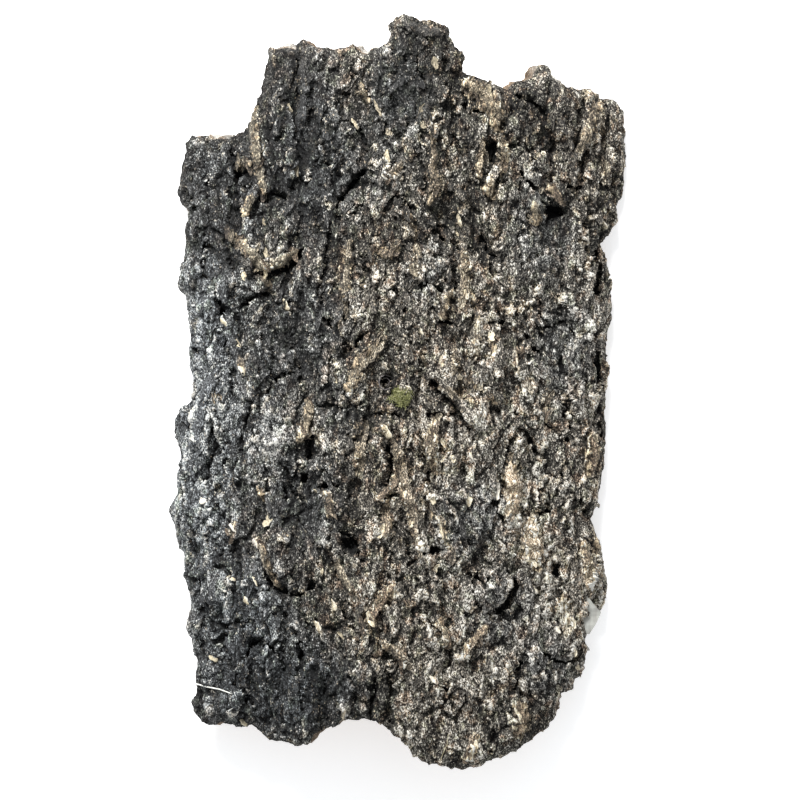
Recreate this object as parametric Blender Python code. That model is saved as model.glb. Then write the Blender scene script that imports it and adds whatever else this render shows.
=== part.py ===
"""A slab of virgin cork bark, stripped from the trunk and lying hollow side down.

X runs across the grain, Y along it and Z up. The origin is the middle of the underside of the
slab's box. The outer face, the broken rim and the smooth inner face are one closed solid.
"""

import math

import bpy
import numpy as np
from mathutils import Vector, geometry, kdtree, noise

# Driving dimensions, in metres.
SLAB_LENGTH = 0.600
TRUNK_RADIUS = 0.300
BARK_THICKNESS = 0.026
CORNER_WEAR = 0.0035
LEAST_CLEARANCE = 0.0004

# The reference view looks straight down. It is 800 pixels square, and the slab spans these rows
# and columns of it, so that one scale turns every pixel below into a real place.
TOP_ROW, BOTTOM_ROW = 18, 768
LEFT_COLUMN, RIGHT_COLUMN = 167, 627
PIXEL = SLAB_LENGTH / (BOTTOM_ROW - TOP_ROW)

# Outline of the outer face, clockwise from the top left shoulder, in pixels.
OUTLINE = [
    (185, 141), (191, 134), (197, 138), (204, 134), (209, 140), (219, 138), (229, 138), (242, 131), (249, 128),
    (252, 118), (255, 107), (260, 94), (264, 76), (268, 60), (270, 49), (279, 50), (287, 50), (296, 51),
    (298, 44), (303, 41), (309, 45), (314, 49), (334, 50), (352, 47), (358, 51), (362, 57), (367, 57),
    (371, 52), (380, 48), (388, 43), (391, 34), (389, 25), (395, 20), (404, 18), (412, 19), (418, 24),
    (431, 23), (441, 26), (448, 29), (449, 39), (454, 47), (462, 55), (461, 66), (463, 75), (475, 78),
    (489, 85), (507, 91), (517, 82), (534, 79), (536, 69), (542, 64), (548, 67), (552, 77), (561, 83),
    (571, 87), (580, 88), (592, 89), (599, 96), (613, 97), (620, 102), (625, 111), (627, 128), (625, 146),
    (626, 165), (625, 180), (624, 191), (619, 203), (616, 219), (610, 233), (599, 243), (605, 254),
    (610, 270), (613, 288), (612, 303), (614, 318), (610, 330), (607, 342), (607, 358), (609, 372),
    (606, 392), (606, 416), (607, 441), (603, 466), (600, 487), (598, 503), (590, 519), (596, 534),
    (602, 550), (605, 570), (608, 587), (606, 602), (599, 612), (590, 622), (587, 640), (585, 662),
    (581, 677), (575, 680), (574, 690), (561, 694), (558, 708), (552, 720), (543, 730), (528, 742),
    (512, 751), (495, 757), (479, 764), (463, 768), (446, 765), (428, 762), (413, 754), (407, 744),
    (398, 735), (388, 730), (382, 722), (370, 718), (356, 718), (344, 716), (334, 724), (314, 733),
    (307, 742), (297, 745), (286, 742), (275, 740), (264, 732), (252, 724), (236, 725), (219, 723),
    (206, 726), (195, 716), (190, 704), (194, 696), (195, 675), (196, 661), (190, 646), (186, 628),
    (189, 609), (188, 592), (183, 577), (184, 556), (177, 544), (173, 527), (167, 512), (171, 501),
    (176, 490), (174, 474), (179, 460), (178, 448), (172, 433), (173, 419), (181, 407), (189, 399),
    (193, 385), (188, 369), (187, 348), (189, 332), (187, 314), (184, 295), (177, 289), (175, 284),
    (180, 268), (183, 250), (184, 230), (187, 211), (180, 204), (174, 192), (178, 175), (181, 155),
]

# Fissures: half width and depth in metres, then the line of the floor in pixels.
FISSURES = [
    (0.0050, 0.0100, [(364, 174), (353, 184), (346, 196), (339, 206)]),
    (0.0055, 0.0100, [(262, 199), (272, 196), (286, 199)]),
    (0.0045, 0.0095, [(303, 251), (294, 262), (280, 271), (264, 274)]),
    (0.0035, 0.0070, [(268, 293), (256, 298), (243, 305)]),
    (0.0045, 0.0090, [(366, 332), (357, 344), (344, 356)]),
    (0.0045, 0.0080, [(299, 367), (288, 373), (276, 381)]),
    (0.0040, 0.0080, [(218, 297), (223, 312), (222, 332), (229, 350), (230, 364)]),
    (0.0040, 0.0070, [(203, 244), (201, 268), (206, 279)]),
    (0.0055, 0.0110, [(214, 424), (215, 446), (209, 468), (203, 484)]),
    (0.0035, 0.0070, [(250, 412), (244, 428), (241, 452)]),
    (0.0050, 0.0100, [(312, 424), (311, 448), (309, 466), (304, 480)]),
    (0.0040, 0.0080, [(284, 486), (289, 500)]),
    (0.0014, 0.0050, [(317, 405), (332, 406), (345, 409), (354, 403)]),
    (0.0018, 0.0060, [(374, 414), (388, 413), (404, 417)]),
    (0.0020, 0.0060, [(428, 414), (444, 415), (462, 412)]),
    (0.0050, 0.0090, [(432, 382), (443, 394), (455, 407)]),
    (0.0035, 0.0060, [(458, 416), (470, 430), (478, 444)]),
    (0.0045, 0.0090, [(519, 428), (529, 438), (536, 452), (533, 463)]),
    (0.0035, 0.0070, [(512, 436), (507, 448), (514, 461)]),
    (0.0035, 0.0080, [(525, 333), (530, 345), (538, 353)]),
    (0.0035, 0.0070, [(482, 236), (486, 249), (497, 262)]),
    (0.0050, 0.0070, [(420, 286), (431, 286), (441, 291)]),
    (0.0030, 0.0070, [(441, 322), (450, 325)]),
    (0.0030, 0.0060, [(489, 322), (503, 322)]),
    (0.0040, 0.0090, [(541, 202), (550, 206), (561, 213)]),
    (0.0040, 0.0090, [(586, 152), (582, 166), (583, 181)]),
    (0.0040, 0.0080, [(561, 179), (569, 187), (579, 188)]),
    (0.0035, 0.0070, [(565, 404), (566, 416), (569, 430)]),
    (0.0028, 0.0060, [(545, 424), (556, 431), (567, 440)]),
    (0.0030, 0.0080, [(521, 511), (534, 515), (547, 511)]),
    (0.0035, 0.0080, [(572, 493), (580, 506), (588, 519)]),
    (0.0030, 0.0060, [(493, 500), (497, 513), (506, 521)]),
    (0.0030, 0.0070, [(422, 554), (431, 549), (442, 548)]),
    (0.0075, 0.0120, [(516, 580), (507, 596), (499, 610), (488, 612), (477, 602)]),
    (0.0042, 0.0120, [(521, 663), (515, 674), (516, 687), (521, 697)]),
    (0.0040, 0.0085, [(543, 653), (556, 661), (572, 661), (580, 652)]),
    (0.0045, 0.0080, [(347, 533), (357, 545), (364, 560)]),
    (0.0035, 0.0070, [(346, 588), (343, 602), (345, 616)]),
    (0.0035, 0.0090, [(265, 572), (276, 587), (295, 594), (311, 585), (321, 567)]),
    (0.0050, 0.0090, [(243, 660), (252, 645), (264, 640), (274, 650)]),
    (0.0035, 0.0060, [(300, 633), (301, 648), (303, 666)]),
    (0.0040, 0.0070, [(376, 676), (372, 694), (371, 712)]),
    (0.0040, 0.0070, [(388, 446), (394, 466), (388, 482)]),
    (0.0035, 0.0080, [(318, 486), (327, 487), (338, 484)]),
    (0.0035, 0.0060, [(545, 327), (556, 324), (570, 323), (575, 338)]),
    (0.0035, 0.0070, [(391, 291), (399, 299), (404, 313)]),
    (0.0040, 0.0070, [(201, 578), (200, 598), (202, 620), (201, 648)]),
    (0.0035, 0.0080, [(463, 106), (470, 112), (484, 115)]),
    (0.0040, 0.0080, [(515, 96), (524, 101), (540, 109), (546, 124)]),
    (0.0035, 0.0070, [(519, 174), (528, 184), (537, 191)]),
    (0.0035, 0.0070, [(232, 150), (242, 158), (238, 183), (250, 188)]),
    (0.0030, 0.0070, [(432, 232), (445, 241), (460, 250)]),
    (0.0030, 0.0070, [(484, 588), (476, 575), (470, 589)]),
    (0.0030, 0.0060, [(441, 684), (449, 692), (457, 698)]),
    (0.0030, 0.0060, [(420, 611), (434, 619), (444, 640)]),
    (0.0035, 0.0060, [(596, 250), (601, 268), (598, 292)]),
    (0.0030, 0.0070, [(598, 352), (600, 378), (599, 408), (602, 434)]),
    (0.0035, 0.0060, [(330, 232), (324, 262), (322, 300), (331, 330)]),
    (0.0035, 0.0060, [(385, 212), (396, 196), (415, 214)]),
]

# Ridges and curled lips: half width and height in metres, then the line of the crest in pixels.
RIDGES = [
    (0.0040, 0.0055, [(432, 138), (434, 158), (431, 172), (438, 187), (430, 205)]),
    (0.0050, 0.0060, [(257, 106), (254, 128), (257, 158), (261, 180), (266, 194)]),
    (0.0035, 0.0060, [(237, 172), (243, 165), (252, 163)]),
    (0.0040, 0.0060, [(257, 192), (250, 203), (245, 216)]),
    (0.0050, 0.0050, [(231, 236), (246, 248), (262, 266), (280, 263), (297, 252)]),
    (0.0040, 0.0050, [(258, 276), (266, 286), (272, 292)]),
    (0.0050, 0.0045, [(462, 248), (465, 274), (462, 308)]),
    (0.0040, 0.0055, [(452, 292), (444, 303), (443, 317)]),
    (0.0045, 0.0050, [(404, 164), (392, 174), (383, 184)]),
    (0.0030, 0.0045, [(360, 86), (364, 97), (369, 106)]),
    (0.0045, 0.0045, [(351, 240), (348, 272), (345, 300), (347, 320)]),
    (0.0065, 0.0060, [(386, 336), (374, 352), (358, 367), (349, 388)]),
    (0.0050, 0.0060, [(382, 422), (392, 438), (401, 462), (406, 488), (414, 518), (417, 546)]),
    (0.0045, 0.0060, [(375, 500), (386, 491), (398, 478)]),
    (0.0035, 0.0050, [(262, 540), (265, 560), (273, 577), (282, 589)]),
    (0.0040, 0.0060, [(334, 556), (343, 574), (353, 592)]),
    (0.0060, 0.0045, [(311, 402), (306, 420), (300, 442)]),
    (0.0070, 0.0040, [(262, 428), (272, 444), (279, 462)]),
    (0.0080, 0.0045, [(512, 460), (513, 486), (514, 512)]),
    (0.0090, 0.0045, [(530, 520), (532, 545), (536, 566)]),
    (0.0060, 0.0045, [(582, 543), (589, 565), (590, 590)]),
    (0.0040, 0.0060, [(437, 618), (445, 630), (450, 648)]),
    (0.0040, 0.0060, [(485, 624), (473, 640), (461, 658)]),
    (0.0035, 0.0040, [(462, 668), (446, 680)]),
    (0.0060, 0.0050, [(392, 584), (378, 602), (368, 622)]),
    (0.0050, 0.0060, [(380, 640), (395, 648), (408, 664), (417, 680)]),
    (0.0070, 0.0050, [(516, 700), (519, 718), (514, 736)]),
    (0.0040, 0.0040, [(476, 732), (468, 750), (463, 762)]),
    (0.0075, 0.0060, [(465, 84), (480, 99), (493, 112), (497, 128)]),
    (0.0040, 0.0060, [(482, 142), (479, 160), (477, 176)]),
    (0.0040, 0.0060, [(501, 141), (506, 156)]),
    (0.0040, 0.0050, [(490, 198), (490, 181), (502, 166)]),
    (0.0045, 0.0065, [(544, 192), (556, 195), (564, 206)]),
    (0.0035, 0.0060, [(535, 200), (534, 222)]),
    (0.0050, 0.0055, [(600, 98), (592, 120), (585, 142), (574, 158), (572, 178)]),
    (0.0045, 0.0040, [(456, 345), (453, 366), (452, 386)]),
    (0.0045, 0.0045, [(434, 376), (448, 390), (463, 408), (474, 426)]),
    (0.0055, 0.0045, [(590, 424), (594, 450), (592, 478)]),
    (0.0055, 0.0035, [(438, 414), (431, 444), (435, 474)]),
    (0.0060, 0.0040, [(366, 420), (361, 446), (362, 472)]),
    (0.0050, 0.0045, [(328, 492), (332, 516)]),
    (0.0050, 0.0045, [(384, 502), (386, 532)]),
    (0.0040, 0.0035, [(260, 486), (266, 504)]),
    (0.0040, 0.0040, [(238, 520), (230, 544)]),
    (0.0055, 0.0035, [(226, 330), (240, 360), (243, 384), (250, 400)]),
    (0.0060, 0.0050, [(218, 366), (205, 392), (198, 424), (190, 452)]),
    (0.0045, 0.0050, [(400, 240), (388, 256), (378, 252)]),
    (0.0050, 0.0040, [(296, 140), (302, 118), (305, 84), (303, 48)]),
    (0.0060, 0.0045, [(402, 26), (420, 34), (444, 36)]),
    (0.0040, 0.0040, [(598, 262), (588, 290), (586, 304)]),
    (0.0040, 0.0045, [(566, 262), (570, 278)]),
    (0.0050, 0.0040, [(214, 560), (205, 574), (204, 590)]),
    (0.0045, 0.0045, [(212, 582), (210, 600), (222, 606)]),
    (0.0050, 0.0045, [(186, 508), (196, 500), (208, 498)]),
]

# Raised plates: half axes and height in metres, then the centre in pixels.
PLATES = [
    (0.0225, 0.0280, 0.0060, (292, 557)),
    (0.0130, 0.0190, 0.0065, (492, 588)),
    (0.0260, 0.0150, 0.0035, (262, 252)),
    (0.0075, 0.0080, 0.0060, (521, 447)),
    (0.0200, 0.0160, 0.0035, (532, 263)),
    (0.0190, 0.0150, 0.0030, (432, 188)),
    (0.0200, 0.0180, 0.0040, (366, 205)),
    (0.0180, 0.0150, 0.0035, (236, 288)),
    (0.0120, 0.0160, 0.0040, (547, 676)),
    (0.0150, 0.0180, 0.0035, (520, 132)),
    (0.0150, 0.0220, 0.0035, (566, 122)),
    (0.0090, 0.0140, 0.0045, (190, 520)),
    (0.0110, 0.0120, 0.0040, (215, 592)),
    (0.0240, 0.0220, 0.0040, (296, 712)),
    (0.0160, 0.0160, 0.0035, (452, 686)),
    (0.0200, 0.0120, 0.0035, (226, 704)),
]

# Knot holes, beetle holes and pockets: half axes and depth in metres, then the centre in pixels.
HOLES = [
    (0.0052, 0.0052, 0.0140, (385, 381)),
    (0.0036, 0.0028, 0.0100, (413, 562)),
    (0.0045, 0.0024, 0.0080, (196, 350)),
    (0.0050, 0.0050, 0.0100, (556, 571)),
    (0.0052, 0.0040, 0.0060, (494, 412)),
    (0.0024, 0.0022, 0.0060, (377, 611)),
    (0.0060, 0.0110, 0.0130, (491, 153)),
    (0.0085, 0.0070, 0.0100, (550, 213)),
    (0.0060, 0.0050, 0.0080, (247, 174)),
    (0.0050, 0.0070, 0.0080, (352, 545)),
]

# Where the paler inner layers reach past the dark outer face: reach and half length in metres,
# then the place on the outline in pixels.
INNER_LEDGES = [
    (0.0030, 0.0090, (215, 139)),
    (0.0025, 0.0080, (284, 49)),
    (0.0040, 0.0060, (361, 55)),
    (0.0040, 0.0090, (560, 82)),
    (0.0070, 0.0150, (593, 616)),
]

# The four lowest corners of the rim, which the slab rests on, in pixels.
RESTING_CORNERS = [(174, 192), (167, 512), (626, 146), (608, 590)]

# Mesh spacing, in metres.
RIM_STEP = 0.0080
OUTER_STEP = 0.0079
FEATURE_STEP = 0.0052
INNER_STEP = 0.0190
CORNER_STEP = 0.0036
RIM_RINGS = (0.36, 0.70)

BARK_COLOUR = (0.075, 0.066, 0.055, 1.0)


def place(pixel):
    """A pixel of the reference view as a place in plan, in metres."""
    column, row = pixel
    return np.array([column - (LEFT_COLUMN + RIGHT_COLUMN) / 2, (TOP_ROW + BOTTOM_ROW) / 2 - row]) * PIXEL


def places(pixels):
    return np.array([place(pixel) for pixel in pixels])


def smooth(value):
    """0 to 1 with a level start and end."""
    value = np.clip(value, 0, 1)
    return value * value * (3 - 2 * value)


def wave(points, across, along, seed, octaves=1):
    """Noise between about -1 and 1, whose lumps have the two sizes given."""
    return np.array([
        noise.fractal((x / across, y / along, seed), 1.0, 2.0, octaves, noise_basis="PERLIN_ORIGINAL")
        for x, y in points
    ])


def shingles(points, across, along, seed, tilt):
    """Plates of the sizes given, each tilted its own way: their height, and how near each point is to a crack."""
    height, crack = np.empty(len(points)), np.empty(len(points))
    for i, (x, y) in enumerate(points):
        distances, seeds = noise.voronoi((x / across, y / along, seed))
        own = noise.cell_vector(seeds[0] * 7.3)
        lean = (x / across - seeds[0].x) * own.x + (y / along - seeds[0].y) * (own.y + 0.5)
        height[i] = own.z + tilt * lean
        crack[i] = distances[1] - distances[0]
    return height, 1 - smooth(crack / 0.16)


def spaced(line, step, closed=False):
    """Points along a line at about the step given."""
    line = np.vstack([line, line[:1]]) if closed else line
    lengths = np.linalg.norm(np.diff(line, axis=0), axis=1)
    along = np.concatenate([[0], np.cumsum(lengths)])
    count = max(2, round(along[-1] / step))
    wanted = np.linspace(0, along[-1], count, endpoint=not closed)
    return np.stack([np.interp(wanted, along, line[:, k]) for k in range(2)], axis=1)


def distance_along(points, line):
    """Distance of each point to a line, and how far along it the nearest place is, from 0 to 1."""
    lengths = np.linalg.norm(np.diff(line, axis=0), axis=1)
    starts = np.concatenate([[0], np.cumsum(lengths)[:-1]])
    nearest, share = np.full(len(points), np.inf), np.zeros(len(points))
    for start, end, length, before in zip(line[:-1], line[1:], lengths, starts):
        t = np.clip((points - start) @ (end - start) / length**2, 0, 1)
        distance = np.linalg.norm(points - start - t[:, None] * (end - start), axis=1)
        closer = distance < nearest
        nearest[closer] = distance[closer]
        share[closer] = ((before + t * length) / lengths.sum())[closer]
    return nearest, share


def close_to(points, low, high, margin):
    """Which points lie in a box of the plan, or within the margin of it."""
    return np.flatnonzero(((points > low - margin) & (points < high + margin)).all(axis=1))


def stroke(points, half_width, pixels):
    """The points by a line, and a weight: 1 on the line, falling to 0 at its sides and narrowing to its ends."""
    line = places(pixels)
    near = close_to(points, line.min(axis=0), line.max(axis=0), half_width)
    distance, share = distance_along(points[near], line)
    taper = 0.35 + 0.65 * np.sqrt(np.clip(4 * share * (1 - share), 0, 1))
    return near, smooth(1 - distance / (half_width * taper))


def oval(points, half_x, half_y, pixel):
    """The points by an oval, and how far out each is: 0 at its centre and 1 at its edge."""
    centre, half = place(pixel), np.array([half_x, half_y])
    near = close_to(points, centre - half, centre + half, 0.3 * max(half))
    return near, np.linalg.norm((points[near] - centre) / half, axis=1)


def outer_relief(points):
    """Height of the outer face over the round trunk, before its edge is rounded."""
    bend = np.stack([wave(points, 0.070, 0.110, 3.1, 2), wave(points, 0.050, 0.060, 6.4, 2)], axis=1)
    fray = np.stack([wave(points, 0.011, 0.014, 8.2, 2), wave(points, 0.012, 0.012, 12.9, 2)], axis=1)
    bent = points + 0.012 * bend

    # Ribs along the grain with furrows between them, broken into tilted plates.
    ribs = smooth(np.abs(wave(bent, 0.038, 0.190, 7.7, 2)) / 0.30)
    furrows = 1 - np.clip(np.abs(wave(bent + 0.003 * fray, 0.030, 0.110, 27.7, 2)) / 0.12, 0, 1)
    plates, cracks = shingles(bent + 0.005 * fray, 0.019, 0.038, 2.2, 1.3)
    crumble = np.abs(fray[:, 0]) + np.abs(fray[:, 1]) - 0.4
    relief = 0.0070 * (ribs - 0.6) + 0.0024 * plates + 0.0014 * crumble
    relief -= 0.0030 * smooth(furrows) + 0.0016 * cracks

    # The landmarks of this one slab, with edges as frayed as the rest.
    frayed = points + 0.0035 * fray
    for half_x, half_y, height, centre in PLATES:
        near, reach = oval(frayed, half_x, half_y, centre)
        relief[near] += height * smooth((1 - reach) / 0.30) * (1 - 0.35 * np.clip(reach, 0, 1) ** 2)
    for half_width, height, line in RIDGES:
        near, weight = stroke(frayed, half_width * 1.25, line)
        relief[near] += height * weight
    for half_width, depth, line in FISSURES:
        near, weight = stroke(frayed, half_width * 1.25, line)
        relief[near] -= depth * weight
    for half_x, half_y, depth, centre in HOLES:
        near, reach = oval(frayed, half_x, half_y, centre)
        relief[near] -= depth * smooth((1.25 - reach) / 0.55)
    return np.clip(relief, -0.0150, 0.0110)


def ragged(loop):
    """The outline, now anticlockwise, with the small teeth of broken bark."""
    teeth = [wave(loop, 0.011, 0.011, seed, 2) for seed in (31.0, 47.0)]
    loop = loop[::-1] + 0.0016 * np.stack(teeth, axis=1)[::-1]
    return loop - (loop.max(axis=0) + loop.min(axis=0)) / 2


def tree_of(points):
    tree = kdtree.KDTree(len(points))
    for i, (x, y) in enumerate(points):
        tree.insert((x, y, 0), i)
    tree.balance()
    return tree


def inside(points, loop):
    """Whether each point lies inside the loop."""
    x, y = points[:, 0], points[:, 1]
    found = np.zeros(len(points), bool)
    for (x0, y0), (x1, y1) in zip(loop, np.roll(loop, -1, axis=0)):
        if y0 != y1:
            found ^= ((y0 > y) != (y1 > y)) & (x < (x1 - x0) * (y - y0) / (y1 - y0) + x0)
    return found


def triangular_grid(step, half_width, half_length, seed):
    rows = np.arange(-half_length, half_length, step * math.sqrt(0.75))
    columns = np.arange(-half_width, half_width, step)
    grid = np.array([(x + (i % 2) * step / 2, y) for i, y in enumerate(rows) for x in columns])
    return grid + np.random.default_rng(seed).uniform(-0.16, 0.16, grid.shape) * step


def ring(half_x, half_y, pixel, share):
    count = max(6, round(math.pi * share * (half_x + half_y) / FEATURE_STEP))
    turns = np.linspace(0, math.tau, count, endpoint=False)
    return place(pixel) + share * np.stack([half_x * np.cos(turns), half_y * np.sin(turns)], axis=1)


def feature_points():
    """Points in the holes, along the floors and lips of fissures, on the crests, and round the plates."""
    found = []
    for half_x, half_y, _, pixel in HOLES:
        found += [places([pixel]), ring(half_x, half_y, pixel, 0.75), ring(half_x, half_y, pixel, 1.30)]
    for half_width, _, line in FISSURES + RIDGES:
        floor = spaced(places(line), FEATURE_STEP)
        along = np.gradient(floor, axis=0)
        side = np.stack([-along[:, 1], along[:, 0]], axis=1)
        side /= np.linalg.norm(side, axis=1)[:, None]
        found += [floor, floor + side * half_width * 1.2, floor - side * half_width * 1.2]
    for half_x, half_y, _, pixel in PLATES:
        found += [ring(half_x, half_y, pixel, 0.75), ring(half_x, half_y, pixel, 1.05)]
    return np.concatenate(found)


def thinned(points, loop, gap, rim_gap, taken=()):
    """The points inside the loop that keep their distance from it and from those already taken."""
    points = points[inside(points, loop)]
    rim = tree_of(loop)
    kept, buckets = [], {}

    def bucket(point):
        return math.floor(point[0] / gap), math.floor(point[1] / gap)

    def free(point):
        column, row = bucket(point)
        near = (buckets.get((column + i, row + j), ()) for i in (-1, 0, 1) for j in (-1, 0, 1))
        return all(math.dist(point, other) >= gap for group in near for other in group)

    for point in taken:
        buckets.setdefault(bucket(point), []).append(tuple(point))
    for point in points:
        if rim.find((point[0], point[1], 0))[2] >= rim_gap and free(point):
            buckets.setdefault(bucket(point), []).append(tuple(point))
            kept.append(point)
    return np.array(kept)


def outer_points(loop):
    features = thinned(feature_points(), loop, FEATURE_STEP * 0.66, RIM_STEP * 0.45)
    half_width, half_length = loop.max(axis=0)
    grid = triangular_grid(OUTER_STEP, half_width, half_length, 4)
    filler = thinned(grid, loop, OUTER_STEP * 0.62, RIM_STEP * 0.55, features)
    return np.concatenate([features, filler])


def inner_points(loop):
    """A wide grid over the smooth inner face, and a close one by the corners that it rests on."""
    half_width, half_length = loop.max(axis=0)
    close = triangular_grid(CORNER_STEP, half_width, half_length, 6)
    gaps = [np.linalg.norm((close - place(corner)) / (0.020, 0.036), axis=1) for corner in RESTING_CORNERS]
    corners = thinned(close[np.min(gaps, axis=0) < 1], loop, CORNER_STEP * 0.7, CORNER_STEP * 0.7)
    grid = triangular_grid(INNER_STEP, half_width, half_length, 8)
    return np.concatenate([corners, thinned(grid, loop, INNER_STEP * 0.6, RIM_STEP, corners)])


def triangles_between(loop, points):
    """Triangles that join the loop's points, which come first, and the points inside it."""
    plan = np.concatenate([loop, points])
    edges = [(i, (i + 1) % len(loop)) for i in range(len(loop))]
    _, _, faces, *_ = geometry.delaunay_2d_cdt([Vector(point) for point in plan], edges, [], 0, 1e-9, False)
    faces = np.array(faces)
    return faces[inside(plan[faces].mean(axis=1), loop)]


def on_outer_face(plan, rim_tree):
    """Plan places lifted to the outer face, which rounds down to the rim."""
    to_rim = np.array([rim_tree.find((x, y, 0))[2] for x, y in plan])
    rounding = 0.0075 * np.clip(1 - to_rim / 0.015, 0, 1) ** 2
    trunk = np.sqrt(TRUNK_RADIUS**2 - plan[:, 0] ** 2)
    fade = 0.45 + 0.55 * smooth(to_rim / 0.010)
    return np.column_stack([plan, trunk + outer_relief(plan) * fade - rounding])


def on_inner_face(plan, rim_tree):
    """The same places on the smooth face that lay against the trunk, straight in from the outer ones."""
    inner_radius = TRUNK_RADIUS - BARK_THICKNESS
    moved = plan * (inner_radius / TRUNK_RADIUS, 0.992)
    to_rim = np.array([rim_tree.find((x, y, 0))[2] for x, y in plan])
    for reach, half_length, corner in INNER_LEDGES:
        outwards = place(corner) / np.linalg.norm(place(corner))
        near = np.exp(-(np.linalg.norm(plan - place(corner), axis=1) / half_length) ** 2)
        moved += outwards * ((reach + np.linalg.norm(place(corner)) * 0.02) * near)[:, None]
    ripple = 0.0009 * wave(plan, 0.050, 0.260, 17.0, 2) * smooth(to_rim / 0.020)
    return np.column_stack([moved, np.sqrt(inner_radius**2 - moved[:, 0] ** 2) + ripple])


def rim_rings(outer_rim, inner_rim):
    """Rings down the broken rim, from the outer edge to the inner one, in and out with the growth layers."""
    rings = [outer_rim]
    for n, share in enumerate(RIM_RINGS):
        ring = outer_rim + (inner_rim - outer_rim) * share
        torn = 0.0012 * wave(ring[:, :2], 0.009, 0.009, 61.0 + 8 * n, 2)
        outwards = ring[:, :2] / np.linalg.norm(ring[:, :2], axis=1)[:, None]
        ring[:, :2] += outwards * (torn - 0.0008 * (1 - n))[:, None]
        rings.append(ring)
    return rings + [inner_rim]


def settled(points, inner_rim):
    """The slab lowered, tilted and twisted the little that brings its four lowest corners to the ground."""
    rows, lows = [], []
    for corner in RESTING_CORNERS:
        near = inner_rim[np.linalg.norm(inner_rim[:, :2] - inner_rim[:, :2][
            np.argmin(np.linalg.norm(inner_rim[:, :2] - place(corner), axis=1))], axis=1) < 0.016]
        x, y, z = near[np.argmin(near[:, 2])]
        rows.append([1, x, y, x * y])
        lows.append(z + CORNER_WEAR)
    drop = np.linalg.solve(rows, lows)
    x, y, z = points.T
    z = z - (drop[0] + drop[1] * x + drop[2] * y + drop[3] * x * y)
    return np.column_stack([x, y, np.where(z < LEAST_CLEARANCE, 0, z)])


def bark_mesh():
    loop = ragged(spaced(places(OUTLINE), RIM_STEP, closed=True))
    count = len(loop)
    rim_tree = tree_of(spaced(loop, 0.002, closed=True))
    outer_plan = np.concatenate([loop, outer_points(loop)])
    inner_plan = np.concatenate([loop, inner_points(loop)])
    outer_faces = triangles_between(loop, outer_plan[count:])
    inner_faces = triangles_between(loop, inner_plan[count:])

    outer = on_outer_face(outer_plan, rim_tree)
    inner = on_inner_face(inner_plan, rim_tree)
    rings = rim_rings(outer[:count], inner[:count])
    middle = np.concatenate(rings[1:-1])
    points = settled(np.concatenate([outer, middle, inner]), inner[:count])

    # Where each ring of the rim starts in the list of points.
    starts = [0] + [len(outer) + n * count for n in range(len(rings) - 1)]
    inner_start = starts[-1]
    faces = [tuple(face) for face in outer_faces]
    faces += [tuple(inner_start + i for i in reversed(face)) for face in inner_faces]
    for above, below in zip(starts[:-1], starts[1:]):
        for i in range(count):
            j = (i + 1) % count
            faces.append((above + i, below + i, above + j))
            faces.append((above + j, below + i, below + j))
    mesh = bpy.data.meshes.new("cork_bark")
    mesh.from_pydata([tuple(point) for point in points], [], faces)
    mesh.validate()
    return mesh


def bark_material():
    material = bpy.data.materials.new("weathered cork bark")
    material.use_nodes = True
    shader = material.node_tree.nodes["Principled BSDF"]
    shader.inputs["Base Color"].default_value = BARK_COLOUR
    shader.inputs["Roughness"].default_value = 0.92
    shader.inputs["Metallic"].default_value = 0.0
    return material


def main():
    for old in list(bpy.data.objects):
        bpy.data.objects.remove(old, do_unlink=True)
    mesh = bark_mesh()
    mesh.materials.append(bark_material())
    bark = bpy.data.objects.new("cork_bark", mesh)
    bpy.context.scene.collection.objects.link(bark)


main()
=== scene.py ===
"""A slab of virgin cork bark, hollow side down on a pale floor, seen from straight above.

The slab is built first, then what weather has worked loose on it, then the few things stuck to it.
All of it is in metres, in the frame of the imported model: X across the grain, Y along it, Z up.
"""

import math

import bmesh
import bpy
import numpy as np
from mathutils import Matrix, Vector, bvhtree, geometry, kdtree, noise


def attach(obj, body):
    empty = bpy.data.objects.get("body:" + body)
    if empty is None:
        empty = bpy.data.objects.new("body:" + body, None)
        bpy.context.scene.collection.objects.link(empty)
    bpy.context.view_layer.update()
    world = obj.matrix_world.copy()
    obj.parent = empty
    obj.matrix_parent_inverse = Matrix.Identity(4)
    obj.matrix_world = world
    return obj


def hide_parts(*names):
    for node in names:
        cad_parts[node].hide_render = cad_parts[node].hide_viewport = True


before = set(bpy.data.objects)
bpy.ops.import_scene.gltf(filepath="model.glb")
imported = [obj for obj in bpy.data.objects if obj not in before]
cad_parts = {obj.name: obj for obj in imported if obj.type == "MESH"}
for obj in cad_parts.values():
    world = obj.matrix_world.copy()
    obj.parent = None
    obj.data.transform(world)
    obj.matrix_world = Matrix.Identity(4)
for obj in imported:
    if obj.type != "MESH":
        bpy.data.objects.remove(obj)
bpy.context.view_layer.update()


# The slab of bark.
# One piece of virgin cork as it came off the trunk: a crust of dead bark on light cork. The first
# crust splits along the grain as the trunk swells, so ribs, furrows and curled plates run along it.

TRUNK_RADIUS = 0.300
BARK_THICKNESS = 0.026

# The outer face rounds down to the rim by EDGE_DROP over the last EDGE_REACH, and its relief stays
# between the two heights given.
EDGE_DROP, EDGE_REACH = 0.0075, 0.015
RELIEF_LOW, RELIEF_HIGH = -0.0150, 0.0110

# The slab rests on the lowest spot by each of its corners, worn by CORNER_WEAR. What is lower than
# LEAST_CLEARANCE lies on the ground.
CORNER_WEAR, CORNER_REACH = 0.0035, 0.016
LEAST_CLEARANCE = 0.0004

# The photograph is 800 pixels square and the slab spans these rows and columns of it, so that one
# scale turns every pixel below into a real place on the slab.
TOP_ROW, BOTTOM_ROW = 18, 768
LEFT_COLUMN, RIGHT_COLUMN = 167, 627
SLAB_LENGTH = 0.600
PIXEL = SLAB_LENGTH / (BOTTOM_ROW - TOP_ROW)

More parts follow.
